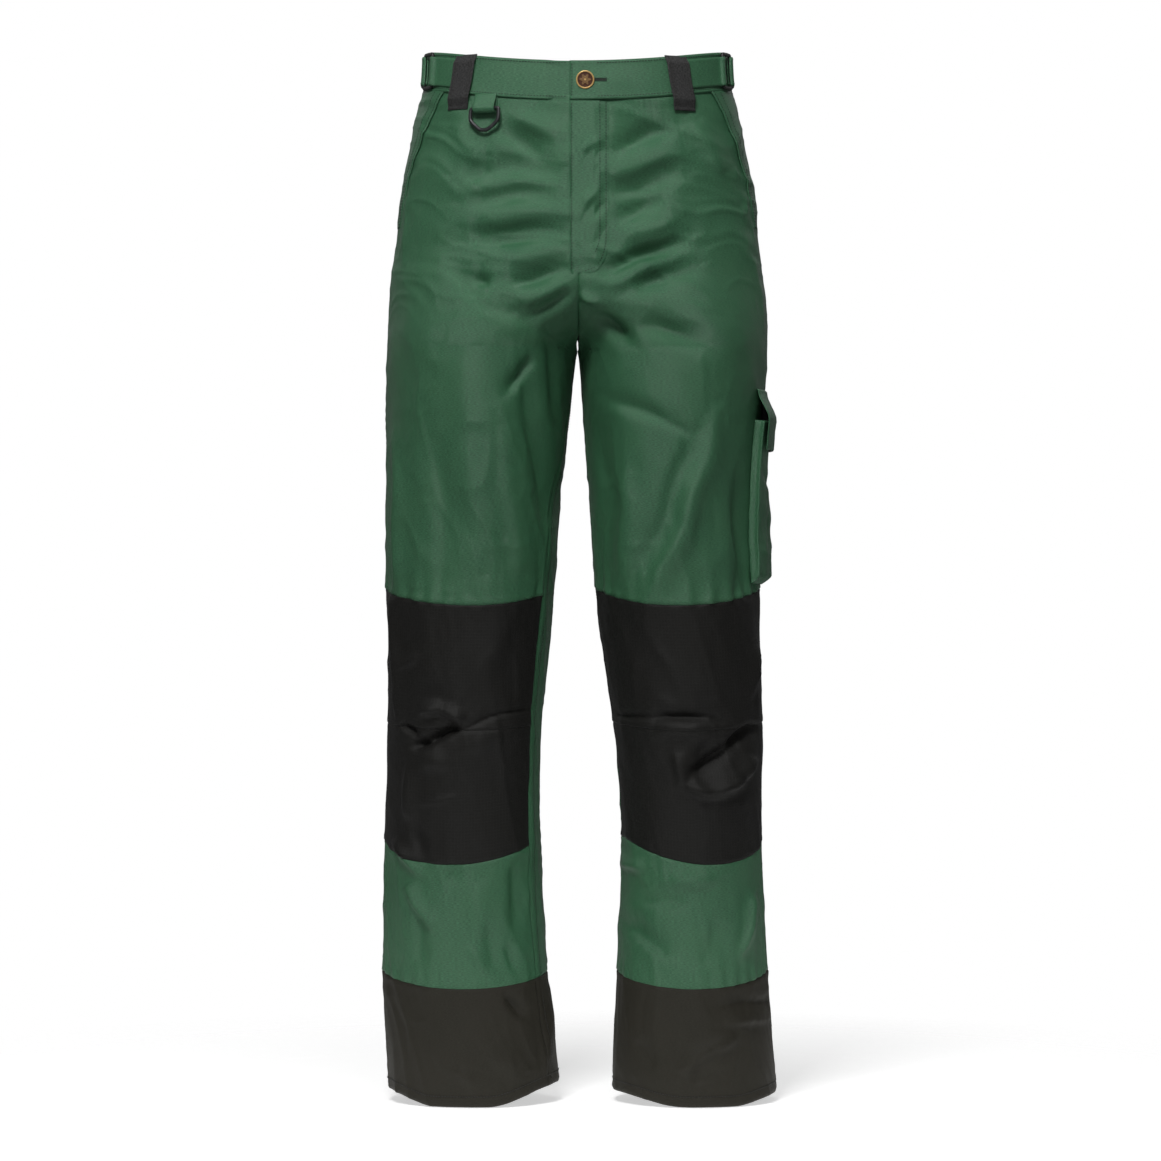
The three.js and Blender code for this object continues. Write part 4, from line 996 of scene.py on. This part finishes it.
def makeDRing():
    d = dRing
    z = float(bandFoot(frontAngle(-1, d["x"], garment["sideTop"] - garment["bandHeight"])) - d["drop"])
    angle = float(frontAngle(-1, d["x"], z))
    lift = 0.5 + 1.9 * math.sqrt(2) + 0.3 + 1.6
    centre, sideways, out, up = standAt(-1, angle, z, lift)
    h, f = d["half"], d["foot"]
    spots = curve([
        (-h + 3, 0.0), (0, 0), (h - 3, 0), (h - 0.5, -0.5), (h, -2.6), (h + 0.2, -7), (h - 0.1, -11),
        (h - 2.2, -14.4), (7, -20.0), (3.2, f + 0.3), (0, f), (-3.2, f + 0.3), (-7, -20.0),
        (-h + 2.2, -14.4), (-h + 0.1, -11), (-h - 0.2, -7), (-h, -2.6), (-h + 0.5, -0.5),
    ], 96)[:-1]
    path = centre + spots[:, :1] * sideways + spots[:, 1:] * up
    ring = sweep("dRing", path, out, d["bar"] / 2, d["bar"] / 2, 0.85, finishes["gunmetal"], 16)
    place(ring, "d_ring", ["d_ring"], "gunmetal")
    # the tab goes down in front of the bar, round it, and back up behind
    r = 3.7
    t = np.linspace(0, -np.pi, 9)
    arc = np.stack([r * np.cos(t), r * np.sin(t)], 1)
    rise, fall = [(-1.6, d["drop"] + 1), (0.4, 9), (2.9, 3.6)], [(-3.9, 5), (-4.1, 13)]
    profile = np.concatenate([rise, arc, fall])
    line = curve(profile, 60)
    s = np.linspace(-0.5, 0.5, 19)
    across = s[None, :, None] * d["tab"] * sideways
    edge = 0.3 * np.exp(-(((0.5 - np.abs(s)) * d["tab"] - 1.3) ** 2))
    normal = unit(np.stack([-np.gradient(line[:, 1]), np.gradient(line[:, 0])], 1))
    line3 = line[:, None] - normal[:, None] * edge[None, :, None]
    face = centre + across + line3[..., :1] * out + line3[..., 1:] * up
    tab = shell("dRingTab", face, 1, d["tabCloth"], green)
    tailor(tab, "trousers", ["d_ring_tab"], face)


makeDRing()
print("straps and rings made")

fly = {
    "edge": -8, "stitch": 32, "foot": 845, "head": 1021.8, "cloth": 1.3,
    "zipMiddle": 6, "chain": (873.0, 1016.5), "pitch": 1.9, "tape": (864.8, 1017.8),
}


def makeFly():
    f = fly
    u, v = grid(44, 76)
    corner = 1 - (1 - np.minimum(v / 0.2, 1)) ** 2
    sewn = mix(10, f["stitch"], np.sqrt(corner))
    x = mix(f["edge"], sewn, u)
    z = mix(f["foot"], f["head"] + 3, v)
    toEdge = x - f["edge"]
    lift = mix(2.2, 0.2, smooth(x, 19, 31)) * (0.15 + 0.85 * smooth(v, 0, 0.1))
    lift = lift - 0.3 * (1 - smooth(toEdge, 0, 1)) - 1.6 * smooth(z, f["head"] - 1, f["head"] + 2)
    face = frontPoint(x, z, lift)
    thick = f["cloth"]
    hinge = [frontPoint(f["stitch"] - d, 960.0, 0.5) * mm for d in (1, 12)]
    piece = shell("flyPlacket", face, 1, thick, green, lining, pinch=0.3)
    tailor(piece, "fly", ["fly_placket"], face, hinge)
    u, v = grid(24, 40)
    x = mix(-24, 30, u)
    z = mix(f["foot"] + 4, f["head"] - 3, v)
    face = frontPoint(x, z, mix(-2.9, -5.9, smooth(x, -19, -3)))
    piece = shell("flyShield", face, 1, 1.1, lining)
    tailor(piece, "trousers", ["fly_shield"], face)
    chainHalf = 2.7
    for side in (1, -1):
        u, v = grid(8, 40)
        x = f["zipMiddle"] + side * (chainHalf + u * 14)
        face = frontPoint(x, mix(*f["tape"], v), -2.95)
        tape = shell(f"zipTape.{names[side]}", face, side, 0.9, finishes["zipTape"])
        tailor(tape, "trousers", [f"zip_tape_{names[side]}"], face)


makeFly()


def boxesAlong(name, centres, sideways, out, up, halves, finish):
    # the same small rounded block at many places: eight corners pulled in, on three levels
    cx = np.array([-1, -0.7, 0.7, 1, 1, 0.7, -0.7, -1.0])
    cy = np.array([-0.7, -1, -1, -0.7, 0.7, 1, 1, 0.7])
    rings = [(-1, 0.72), (-0.7, 1.0), (0.7, 1.0), (1, 0.72)]
    base = np.concatenate([np.stack([cx * s, cy * s, np.full(8, h)], 1) for h, s in rings])
    axes = np.stack([sideways * halves[0], up * halves[2], out * halves[1]])
    points = centres[:, None] + (base @ axes)[None]
    k = np.arange(8)
    walls = [np.stack([k, (k + 1) % 8, (k + 1) % 8 + 8, k + 8], 1) + 8 * r for r in range(3)]
    lid = np.array([[0, 1, 2, 3], [0, 3, 4, 7], [7, 4, 5, 6]])
    quads = np.concatenate(walls + [lid[:, ::-1], lid + 24])
    whole = (quads[None] + (np.arange(len(centres)) * 32)[:, None, None]).reshape(-1, 4)
    return makeMesh(name, points.reshape(-1, 3), whole, finishes=[finish])


def makeZip():
    # two rows of teeth, half a pitch apart, along the slope of the centre front
    z, apart = np.arange(*fly["chain"], fly["pitch"]), 0.75
    up, out = np.array([0, 0.071219, 0.997461]), np.array([0, -0.997461, 0.071219])
    left = frontPoint(fly["zipMiddle"] + apart, z, -3.4, 0.0)
    right = frontPoint(fly["zipMiddle"] - apart, z + fly["pitch"] / 2, -3.4, 0.0)
    chain = boxesAlong(
        "zipChain", np.concatenate([left, right]), np.array([1.0, 0, 0]), out, up,
        (1.55, 1.1, 0.55), finishes["zipTape"],
    )
    place(chain, "trousers", ["zip_chain"], "zip_tape")
    for node in ("zip_slider", "zip_slider_back", "zip_pull", "zip_bottom_stop"):
        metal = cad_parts[node]
        metal.data.materials.clear()
        metal.data.materials.append(finishes["gunmetal"])


makeZip()
print("fly and zip made")

hip = {"mouth": (turn(-33), turn(-11)), "height": 142, "bag": (turn(-52), turn(-6)), "bagHeight": 165}


def hipEdge(v):
    return mix(hip["mouth"][0], hip["mouth"][1], (1 - v) ** 0.7)


def hipFace(side, u, v, lift):
    # the side piece from the slanting mouth to the side seam
    low = bandFoot(0.0) - hip["height"]
    angle = mix(hipEdge(v), garment["sideSeam"], u)
    z = mix(low, bandFoot(angle) + 3, v)
    sink = 1.8 * smooth(z, bandFoot(angle) - 1, bandFoot(angle) + 2.5)
    return angle, z, clothPoint(side, angle, z, lift - sink)


def makeHipPocket(side):
    who = names[side]
    u, v = grid(40, 70)
    bulge = 0.4 * np.sin(np.pi * v) * (1 - smooth(u, 0.1, 0.7))
    lift = mix(0.4, 2.3, smooth(v, 0.0, 0.7)) + bulge
    lift -= 0.3 * (1 - smooth(u, 0, 0.03)) + (lift - 0.2) * smooth(u, 0.85, 1.0)
    angle, z, face = hipFace(side, u, v, lift)
    piece = shell(f"hipPocketFlap.{who}", face, side, 1.3, green, lining, pinch=0.4)
    tailor(piece, "trousers", [f"hip_pocket_flap_{who}"], face)
    u, v = grid(26, 40)
    angle = mix(hip["bag"][0], hip["bag"][1], u)
    rounded = (1 - v) * 18 * np.abs(2 * u - 1) ** 3
    z = mix(bandFoot(angle) - hip["bagHeight"], bandFoot(angle) - 0.4, v) + rounded
    face = clothPoint(side, angle, z, -3.0)
    piece = shell(f"hipPocketBag.{who}", face, side, 1.0, lining)
    tailor(piece, "trousers", [f"hip_pocket_bag_{who}"], face)


for side in (1, -1):
    makeHipPocket(side)

cargo = {
    "from": turn(-27), "to": turn(42), "seam": 731, "flap": 60, "bag": 168, "depth": 11, "mouth": 30,
    "tape": 16, "tapeTop": 4, "lift": 13.6,
}


def cargoFace(u, z, lift, folded=1.0):
    return clothPoint(1, mix(cargo["from"], cargo["to"], u), z, lift, folded)


def makeCargoPocket():
    c = cargo
    top = c["seam"] - c["mouth"]
    foot = top - c["bag"]
    # the bag: up the bellows, across and down again, closed below, open at the top
    u, v = grid(84, 76)
    wall = 0.075
    s = np.minimum(u, 1 - u) / wall
    pleat = 0.30 * np.sin(np.clip(s, 0, 1) * np.pi) * smooth(v, 0.02, 0.2)
    across = np.where(u < 0.5, 1, -1) * pleat * 0.055
    spread = np.clip((u - wall) / (1 - 2 * wall), 0, 1)
    climb = np.clip(s, 0, 1)
    closing = smooth(v, -0.01, 0.055) ** 0.8
    sag = 1.6 * np.sin(np.pi * spread) * np.exp(-(((v - 0.22) / 0.25) ** 2))
    slanting = np.exp(-(((v - 0.62 + 0.25 * (spread - 0.3)) / 0.035) ** 2))
    creases = -2.2 * slanting * (1 - smooth(spread, 0.2, 0.75))
    creases += 1.6 * np.exp(-(((v - 0.48 + 0.2 * spread) / 0.05) ** 2)) * np.sin(np.pi * spread)
    creases -= 1.8 * np.exp(-(((spread - 0.17 - 0.12 * v) / 0.035) ** 2)) * smooth(v, 0.1, 0.5)
    lift = 0.9 + climb * closing * (c["depth"] - 0.9 + (sag + creases) * smooth(s, 0.9, 2.2))
    spot = np.clip(spread + across, -0.02, 1.02)
    z = mix(foot, top, v) + 1.5 * np.sin(np.pi * spread) * (v - 0.5)
    face = cargoFace(spot, z, lift)
    piece = shell("cargoPocketBag", face, 1, 1.2, green, lining)
    tailor(piece, "trousers", ["cargo_pocket_bag"], face)
    u, v = grid(60, 10)
    stripTop = top - c["tapeTop"]
    tape = {
        "cargo_hook_tape": (c["depth"] + 1.5, "trousers", "hookTape"),
        "cargo_loop_tape": (c["depth"] + 2.7, "cargo_flap", "loopTape"),
    }
    for node, (lift, body, name) in tape.items():
        face = cargoFace(mix(0.12, 0.88, u), mix(stripTop - c["tape"], stripTop, v), lift, 1.0)
        piece = shell(name, face, 1, 0.7, finishes["zipTape"])
        tailor(piece, body, [node], face)
    u, v = grid(70, 40)
    out = 1 - smooth(v, 0.5, 1)
    curl = 1.2 * smooth(np.abs(2 * u - 1), 0.86, 1) * (1 - smooth(v, 0.5, 1))
    ripple = 0.9 * np.sin(u * 17 + 1) * (1 - smooth(v, 0.1, 0.7))
    lift = mix(2.2, c["lift"] + 2.2, out) + curl * 1.2 + ripple - 1.5 * smooth(v, 0.97, 1.0)
    z = c["seam"] + 2 - (c["flap"] + 2) * (1 - v)
    face = cargoFace(mix(-0.017, 1.017, u), z, lift)
    piece = shell("cargoPocketFlap", face, 1, 1.5, green, lining, pinch=0.4)
    bendTo = [cargoFace(0.5, c["seam"] - d, 2.0) * mm for d in (1.0, 12.0)]
    tailor(piece, "cargo_flap", ["cargo_pocket_flap"], face, bendTo)


makeCargoPocket()
print("pockets made")

button = {"x": 7.7, "radius": 9.3, "height": 3.4, "foot": 1.7, "petals": 6}


def makeButton():
    # a dish in rings: r and turn give the height, with a raised rim, a groove and a six-leaf rosette
    b = button
    z = float(bandFoot(turn(-90)) + garment["bandHeight"] / 2)
    base = frontPoint(b["x"], z, 0.0, 0.0)
    side, out, up = np.array([1.0, 0, 0]), np.array([0, -1.0, 0]), np.array([0, 0, 1.0])
    edge = [b["radius"] - 0.1, b["radius"], b["radius"], b["radius"] * 0.8, 0.001]
    r = np.concatenate([np.linspace(0.001, b["radius"] - 0.5, 44), edge])
    a = np.linspace(0, 2 * np.pi, 97)[:-1]
    rr, aa = np.meshgrid(r, a, indexing="ij")
    t = rr / b["radius"]
    leaf = np.cos(aa * b["petals"]) * 0.5 + 0.5
    leaves = smooth(0.66 * (0.6 + 0.4 * leaf) - t, -0.03, 0.05) * (0.9 - 0.5 * smooth(t, 0, 0.12))
    rosette = leaves + 0.9 * smooth(0.1 - t, -0.02, 0.03)
    rim = smooth(t, 0.80, 0.86) * (1 - 0.25 * smooth(t, 0.96, 1.0))
    beads = 0.28 * smooth(t, 0.69, 0.72) * (1 - smooth(t, 0.75, 0.78)) * (0.5 + 0.5 * np.cos(aa * 36))
    raised = np.clip(rosette * 0.95 + rim + beads, 0, 1)
    depth = b["foot"] + b["height"] - 1.0 + raised * 0.9
    row = np.arange(len(r))[:, None] * np.ones_like(a)[None]
    depth = np.where(row == len(r) - 4, b["foot"] + b["height"] - 0.9, depth)
    depth = np.where(row == len(r) - 3, b["foot"] + 0.9, depth)
    depth = np.where(row >= len(r) - 2, b["foot"], depth)
    flat = (rr * np.cos(aa))[..., None] * side + (rr * np.sin(aa))[..., None] * up
    points = base + flat + depth[..., None] * out
    rows, columns = rr.shape
    i, j = np.meshgrid(np.arange(rows - 1), np.arange(columns), indexing="ij")
    j2 = (j + 1) % columns
    corners = [i * columns + j, (i + 1) * columns + j, (i + 1) * columns + j2, i * columns + j2]
    quads = np.stack(corners, -1).reshape(-1, 4)
    odd = np.arange(1, columns - 2, 2)
    caps = np.stack([odd * 0, odd, odd + 1, odd + 2], 1)
    faces = np.concatenate([quads, caps, (caps + (rows - 1) * columns)[:, ::-1]])
    head = makeMesh("waistButtonHead", points.reshape(-1, 3), faces, finishes=[finishes["oldBrass"]])
    mark = head.data.attributes.new("relief", "FLOAT", "POINT")
    mark.data.foreach_set("value", np.where(row >= len(r) - 3, 0.45, raised).ravel().astype(np.float32))
    place(head, "button", ["waist_button_head"], "old_brass")
    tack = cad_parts["waist_button_tack"]
    tack.data.materials.clear()
    tack.data.materials.append(finishes["oldBrass"])


makeButton()


def stitches(
    name, runs, finish, body="trousers", pitch=3.1, long=2.2, wide=1.05, high=0.75, blendTo=None
):
    # one small rounded stitch every pitch along each run: six-sided rings at five places,
    # tapering at both ends
    centres, dirs, outs = [], [], []
    for points, normals in runs:
        length = np.insert(np.cumsum(np.linalg.norm(np.diff(points, axis=0), axis=-1)), 0, 0)
        at = np.arange(pitch / 2, length[-1], pitch)

        def sample(values, where):
            return np.stack([np.interp(where, length, values[:, k]) for k in range(3)], 1)

        centres.append(sample(points, at))
        dirs.append(sample(points, at + 0.5) - sample(points, at - 0.5))
        outs.append(sample(normals, at))
    centre, ahead, out = np.concatenate(centres), unit(np.concatenate(dirs)), unit(np.concatenate(outs))
    across = unit(np.cross(ahead, out))
    out = np.cross(across, ahead)
    t = np.array([-0.5, -0.34, 0, 0.34, 0.5])
    size = np.array([0.25, 0.85, 1.0, 0.85, 0.25])
    a = np.linspace(0, 2 * np.pi, 6, endpoint=False)
    rise = size[:, None] * np.sin(a) * high / 2 - (1 - size[:, None]) * high * 0.5
    spots = (
        centre[:, None, None] + ahead[:, None, None] * (t * long)[None, :, None, None]
        + across[:, None, None] * (size[:, None] * np.cos(a) * wide / 2)[None, ..., None]
        + out[:, None, None] * rise[None, ..., None]
    )
    i, j = np.meshgrid(np.arange(4), np.arange(6), indexing="ij")
    j2 = (j + 1) % 6
    quads = np.stack([i * 6 + j, i * 6 + j2, (i + 1) * 6 + j2, (i + 1) * 6 + j], -1).reshape(-1, 4)
    ends = np.array([[0, 3, 2, 1], [0, 5, 4, 3]])
    quads = np.concatenate([quads, ends, ends[:, ::-1] + 24])[:, ::-1]
    whole = (quads[None] + (np.arange(len(centre)) * 30)[:, None, None]).reshape(-1, 4)
    piece = makeMesh(name, spots.reshape(-1, 3), whole, finishes=[finish])
    if blendTo:
        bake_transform(piece)
    else:
        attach(piece, body)
    return piece


def lineOn(side, angle, z, lift, folded=1.0):
    angle, z = np.broadcast_arrays(np.asarray(angle, float), np.asarray(z, float))
    return clothPoint(side, angle, z, lift, folded), outward(side, angle, z)


def frontLine(x, z, lift):
    points = frontPoint(x, z, lift)
    return points, np.broadcast_to([0.0, -1, 0], points.shape)


s = np.linspace(0, 1, 160)
greenRuns, darkRuns, webRuns, flyRuns = [], [], [], []
for side in (1, -1):
    foot = hemFoot(side)
    inner, outer = float(inseam(side, np.array(10.0))), garment["sideSeam"]
    for a0, a1 in ((inner, outer), (outer, inner + 2 * np.pi)):
        a = mix(a0, a1, s)
        darkRuns.append(lineOn(side, a, foot(a) + 11, 0.5))
    z = mix(20, 118, s)
    darkRuns.append(lineOn(side, inseam(side, z) - 5.5 / 60, z, 0.3))
    z = mix(126, 770, s)
    greenRuns.append(lineOn(side, inseam(side, z) + 2 * np.pi - 5.5 / 60 - 0.02, z, 0.4))
    a = mix(turn(-83) if side > 0 else turn(-86), turn(90), s)
    for share in (0.09, 0.93):
        points = bandFace(side, a, share * np.ones_like(a), waist["stand"] + 0.15)
        greenRuns.append((points, outward(side, a, bandFoot(a))))
    for inset in (0.035, 0.16):
        v = s * 0.98
        bulge = 0.4 * np.sin(np.pi * v)
        lift = mix(0.4, 2.3, smooth(v, 0.0, 0.7)) + bulge + 0.1
        angle, z, points = hipFace(side, inset * np.ones_like(v), v, lift)
        greenRuns.append((points, outward(side, angle, z)))
    for middle, lean in ((loopAngles[side], loops["lean"]), (loopAngles[side, "back"], 0)):
        for u in (0.10, 0.19, 0.81, 0.90):
            points = loopFace(side, middle, lean, np.full_like(s, u), mix(0.02, 0.98, s))
            out = outward(side, middle, bandMiddle)
            webRuns.append((points + out * 0.1, np.broadcast_to(out, points.shape)))
z = mix(850, 1019, s)
flyRuns.append(frontLine(np.full_like(z, fly["edge"] + 2.2), z, 2.35))
for inset in (3.2, 9.4):
    v = s**0.8
    corner = 1 - (1 - np.minimum(v / 0.2, 1)) ** 2
    x = mix(10, fly["stitch"], np.sqrt(corner)) - inset
    z = mix(fly["foot"] + inset, fly["head"] - 1, v)
    lift = mix(2.2, 0.2, smooth(x, 19, 31)) * (0.15 + 0.85 * smooth(v, 0, 0.1)) + 0.15
    flyRuns.append(frontLine(x, z, lift))


def onEdge(z):
    # along the free end of the band, a little past the centre plane
    angle = frontAngle(1, waist["flyEdge"] + 2.4, z)
    share = (z - bandFoot(turn(-90)) + 0.6) / (garment["bandHeight"] + 0.6)
    points = bandFace(1, angle, share, waist["stand"] + 0.15)
    return points, np.broadcast_to([0.0, -1, 0], points.shape)


z = mix(1022 + 3, 1022 + 37, s)
greenRuns.append(onEdge(z))
# the dark green thread on these rows paints the shade along the seams and edges
stitches("greenStitching", greenRuns, finishes["greenThreadPaintedShade"])
stitches("hemStitching", darkRuns, finishes["darkThread"])
stitches("loopStitching", webRuns, finishes["darkThread"])
# the buttonhole: close stitches round the slit, and dark stitches along the slit itself as painted shade
# in the opening
slitZ = float(bandFoot(turn(-90)) + garment["bandHeight"] / 2)
slit = {"from": 15.5, "to": 28.0, "apart": 1.25}
x = mix(slit["from"], slit["to"], s)


def onBand(x, z):
    # a place on the left half of the band, given by its x and z
    angle = frontAngle(1, x, z)
    share = (z - bandFoot(angle) + 0.6) / (garment["bandHeight"] + 0.6)
    points = bandFace(1, angle, share, waist["stand"] + 0.2)
    return points, np.broadcast_to([0.0, -1, 0], points.shape)


holeRuns = []
for offset in (-slit["apart"], slit["apart"]):
    holeRuns.append(onBand(x, np.full_like(x, slitZ + offset)))
ends = slitZ + mix(-slit["apart"] - 0.6, slit["apart"] + 0.6, s)
holeRuns.append(onBand(np.full_like(ends, slit["to"] + 0.6), ends))
stitches("buttonholeStitching", holeRuns, finishes["greenThreadPaintedShade"], pitch=0.8, long=1.0, wide=1.5, high=0.6)
# dark stitches along the cut: painted shade standing for the open slit
slitShadeRun = [onBand(x, np.full_like(x, slitZ))]
stitches("buttonholeSlitShade", slitShadeRun, finishes["darkThread"], pitch=2.0, long=3.4, wide=1.1, high=0.5)
hinge = [frontPoint(fly["stitch"] - d, 960.0, 0.5) * mm for d in (1, 12)]
# the dark green thread here paints the shade along the fly edge
stitches("flyStitching", flyRuns, finishes["greenThreadPaintedShade"], "fly", blendTo=hinge)
print("stitching made")


def makeStage():
    # a pale round floor that fades out, and soft light from in front, above and behind
    u, v = grid(96, 24)
    a, r = u * 2 * np.pi, 10 + v * 2600
    points = np.stack([r * np.cos(a), r * np.sin(a), np.full_like(a, -0.6)], -1)
    floor = makeMesh("floor", points.reshape(-1, 3), gridQuads(25, 97)[:, ::-1])
    tree = Tree("paleFloor")
    place = tree.node("ShaderNodeTexCoord", output=3)
    away = tree.node("ShaderNodeVectorMath", {"operation": "LENGTH"}, {0: place}, 1)
    white = tree.node("ShaderNodeBsdfDiffuse", {}, {"Color": (0.93, 0.93, 0.93, 1)})
    clear = tree.node("ShaderNodeBsdfTransparent")
    glow = tree.node("ShaderNodeEmission", {}, {"Color": (1, 1, 1, 1), "Strength": 0.55})
    lit = tree.node("ShaderNodeAddShader", {}, {0: white, 1: glow})
    both = tree.node("ShaderNodeMixShader", {}, {0: away.between(0.30, 0.95), 1: lit, 2: clear})
    tree.node("ShaderNodeOutputMaterial", {}, {"Surface": both})
    floor.data.materials.append(tree.material)
    lamps = {
        "key": ((-0.4, -1.7, 2.4), 0.55, 39), "fill": ((0.3, -4.8, 0.8), 1.4, 14),
        "top": ((0.35, -1.3, 3.4), 0.8, 12),
        "rearLeft": ((-2.2, 3.4, 2.6), 2.0, 8), "rearRight": ((2.2, 3.4, 2.6), 2.0, 8),
    }
    for name, (at, size, power) in lamps.items():
        data = bpy.data.lights.new(name, "AREA")
        data.size, data.energy = size, power
        lamp = bpy.data.objects.new(name, data)
        bpy.context.scene.collection.objects.link(lamp)
        lamp.location = at
        aim = np.array([0, 0, 0.55]) - np.array(at)
        lamp.rotation_euler = Vector(aim).to_track_quat("-Z", "Y").to_euler()
    world = bpy.data.worlds.new("studio")
    bpy.context.scene.world = world
    world.use_nodes = True
    nodes, links = world.node_tree.nodes, world.node_tree.links
    sky = nodes["Background"]
    sky.inputs[0].default_value = (1, 1, 1, 1)
    sky.inputs[1].default_value = 0.12
    backdrop = nodes.new("ShaderNodeBackground")
    backdrop.inputs[0].default_value, backdrop.inputs[1].default_value = (1, 1, 1, 1), 1.0
    ray, chosen = nodes.new("ShaderNodeLightPath"), nodes.new("ShaderNodeMixShader")
    links.new(ray.outputs["Is Camera Ray"], chosen.inputs[0])
    links.new(sky.outputs[0], chosen.inputs[1])
    links.new(backdrop.outputs[0], chosen.inputs[2])
    links.new(chosen.outputs[0], nodes["World Output"].inputs[0])
    bpy.context.scene.view_settings.view_transform = "Standard"


def makeCamera():
    # level, square on, four and a half metres off
    data = bpy.data.cameras.new("camera")
    data.lens, data.sensor_width = 135.1, 36
    camera = bpy.data.objects.new("camera", data)
    bpy.context.scene.collection.objects.link(camera)
    camera.location = (0.003, -4.5, 0.5366)
    camera.rotation_euler = (math.pi / 2, 0, 0)
    bpy.context.scene.camera = camera


makeStage()
makeCamera()

print("stage and camera made")
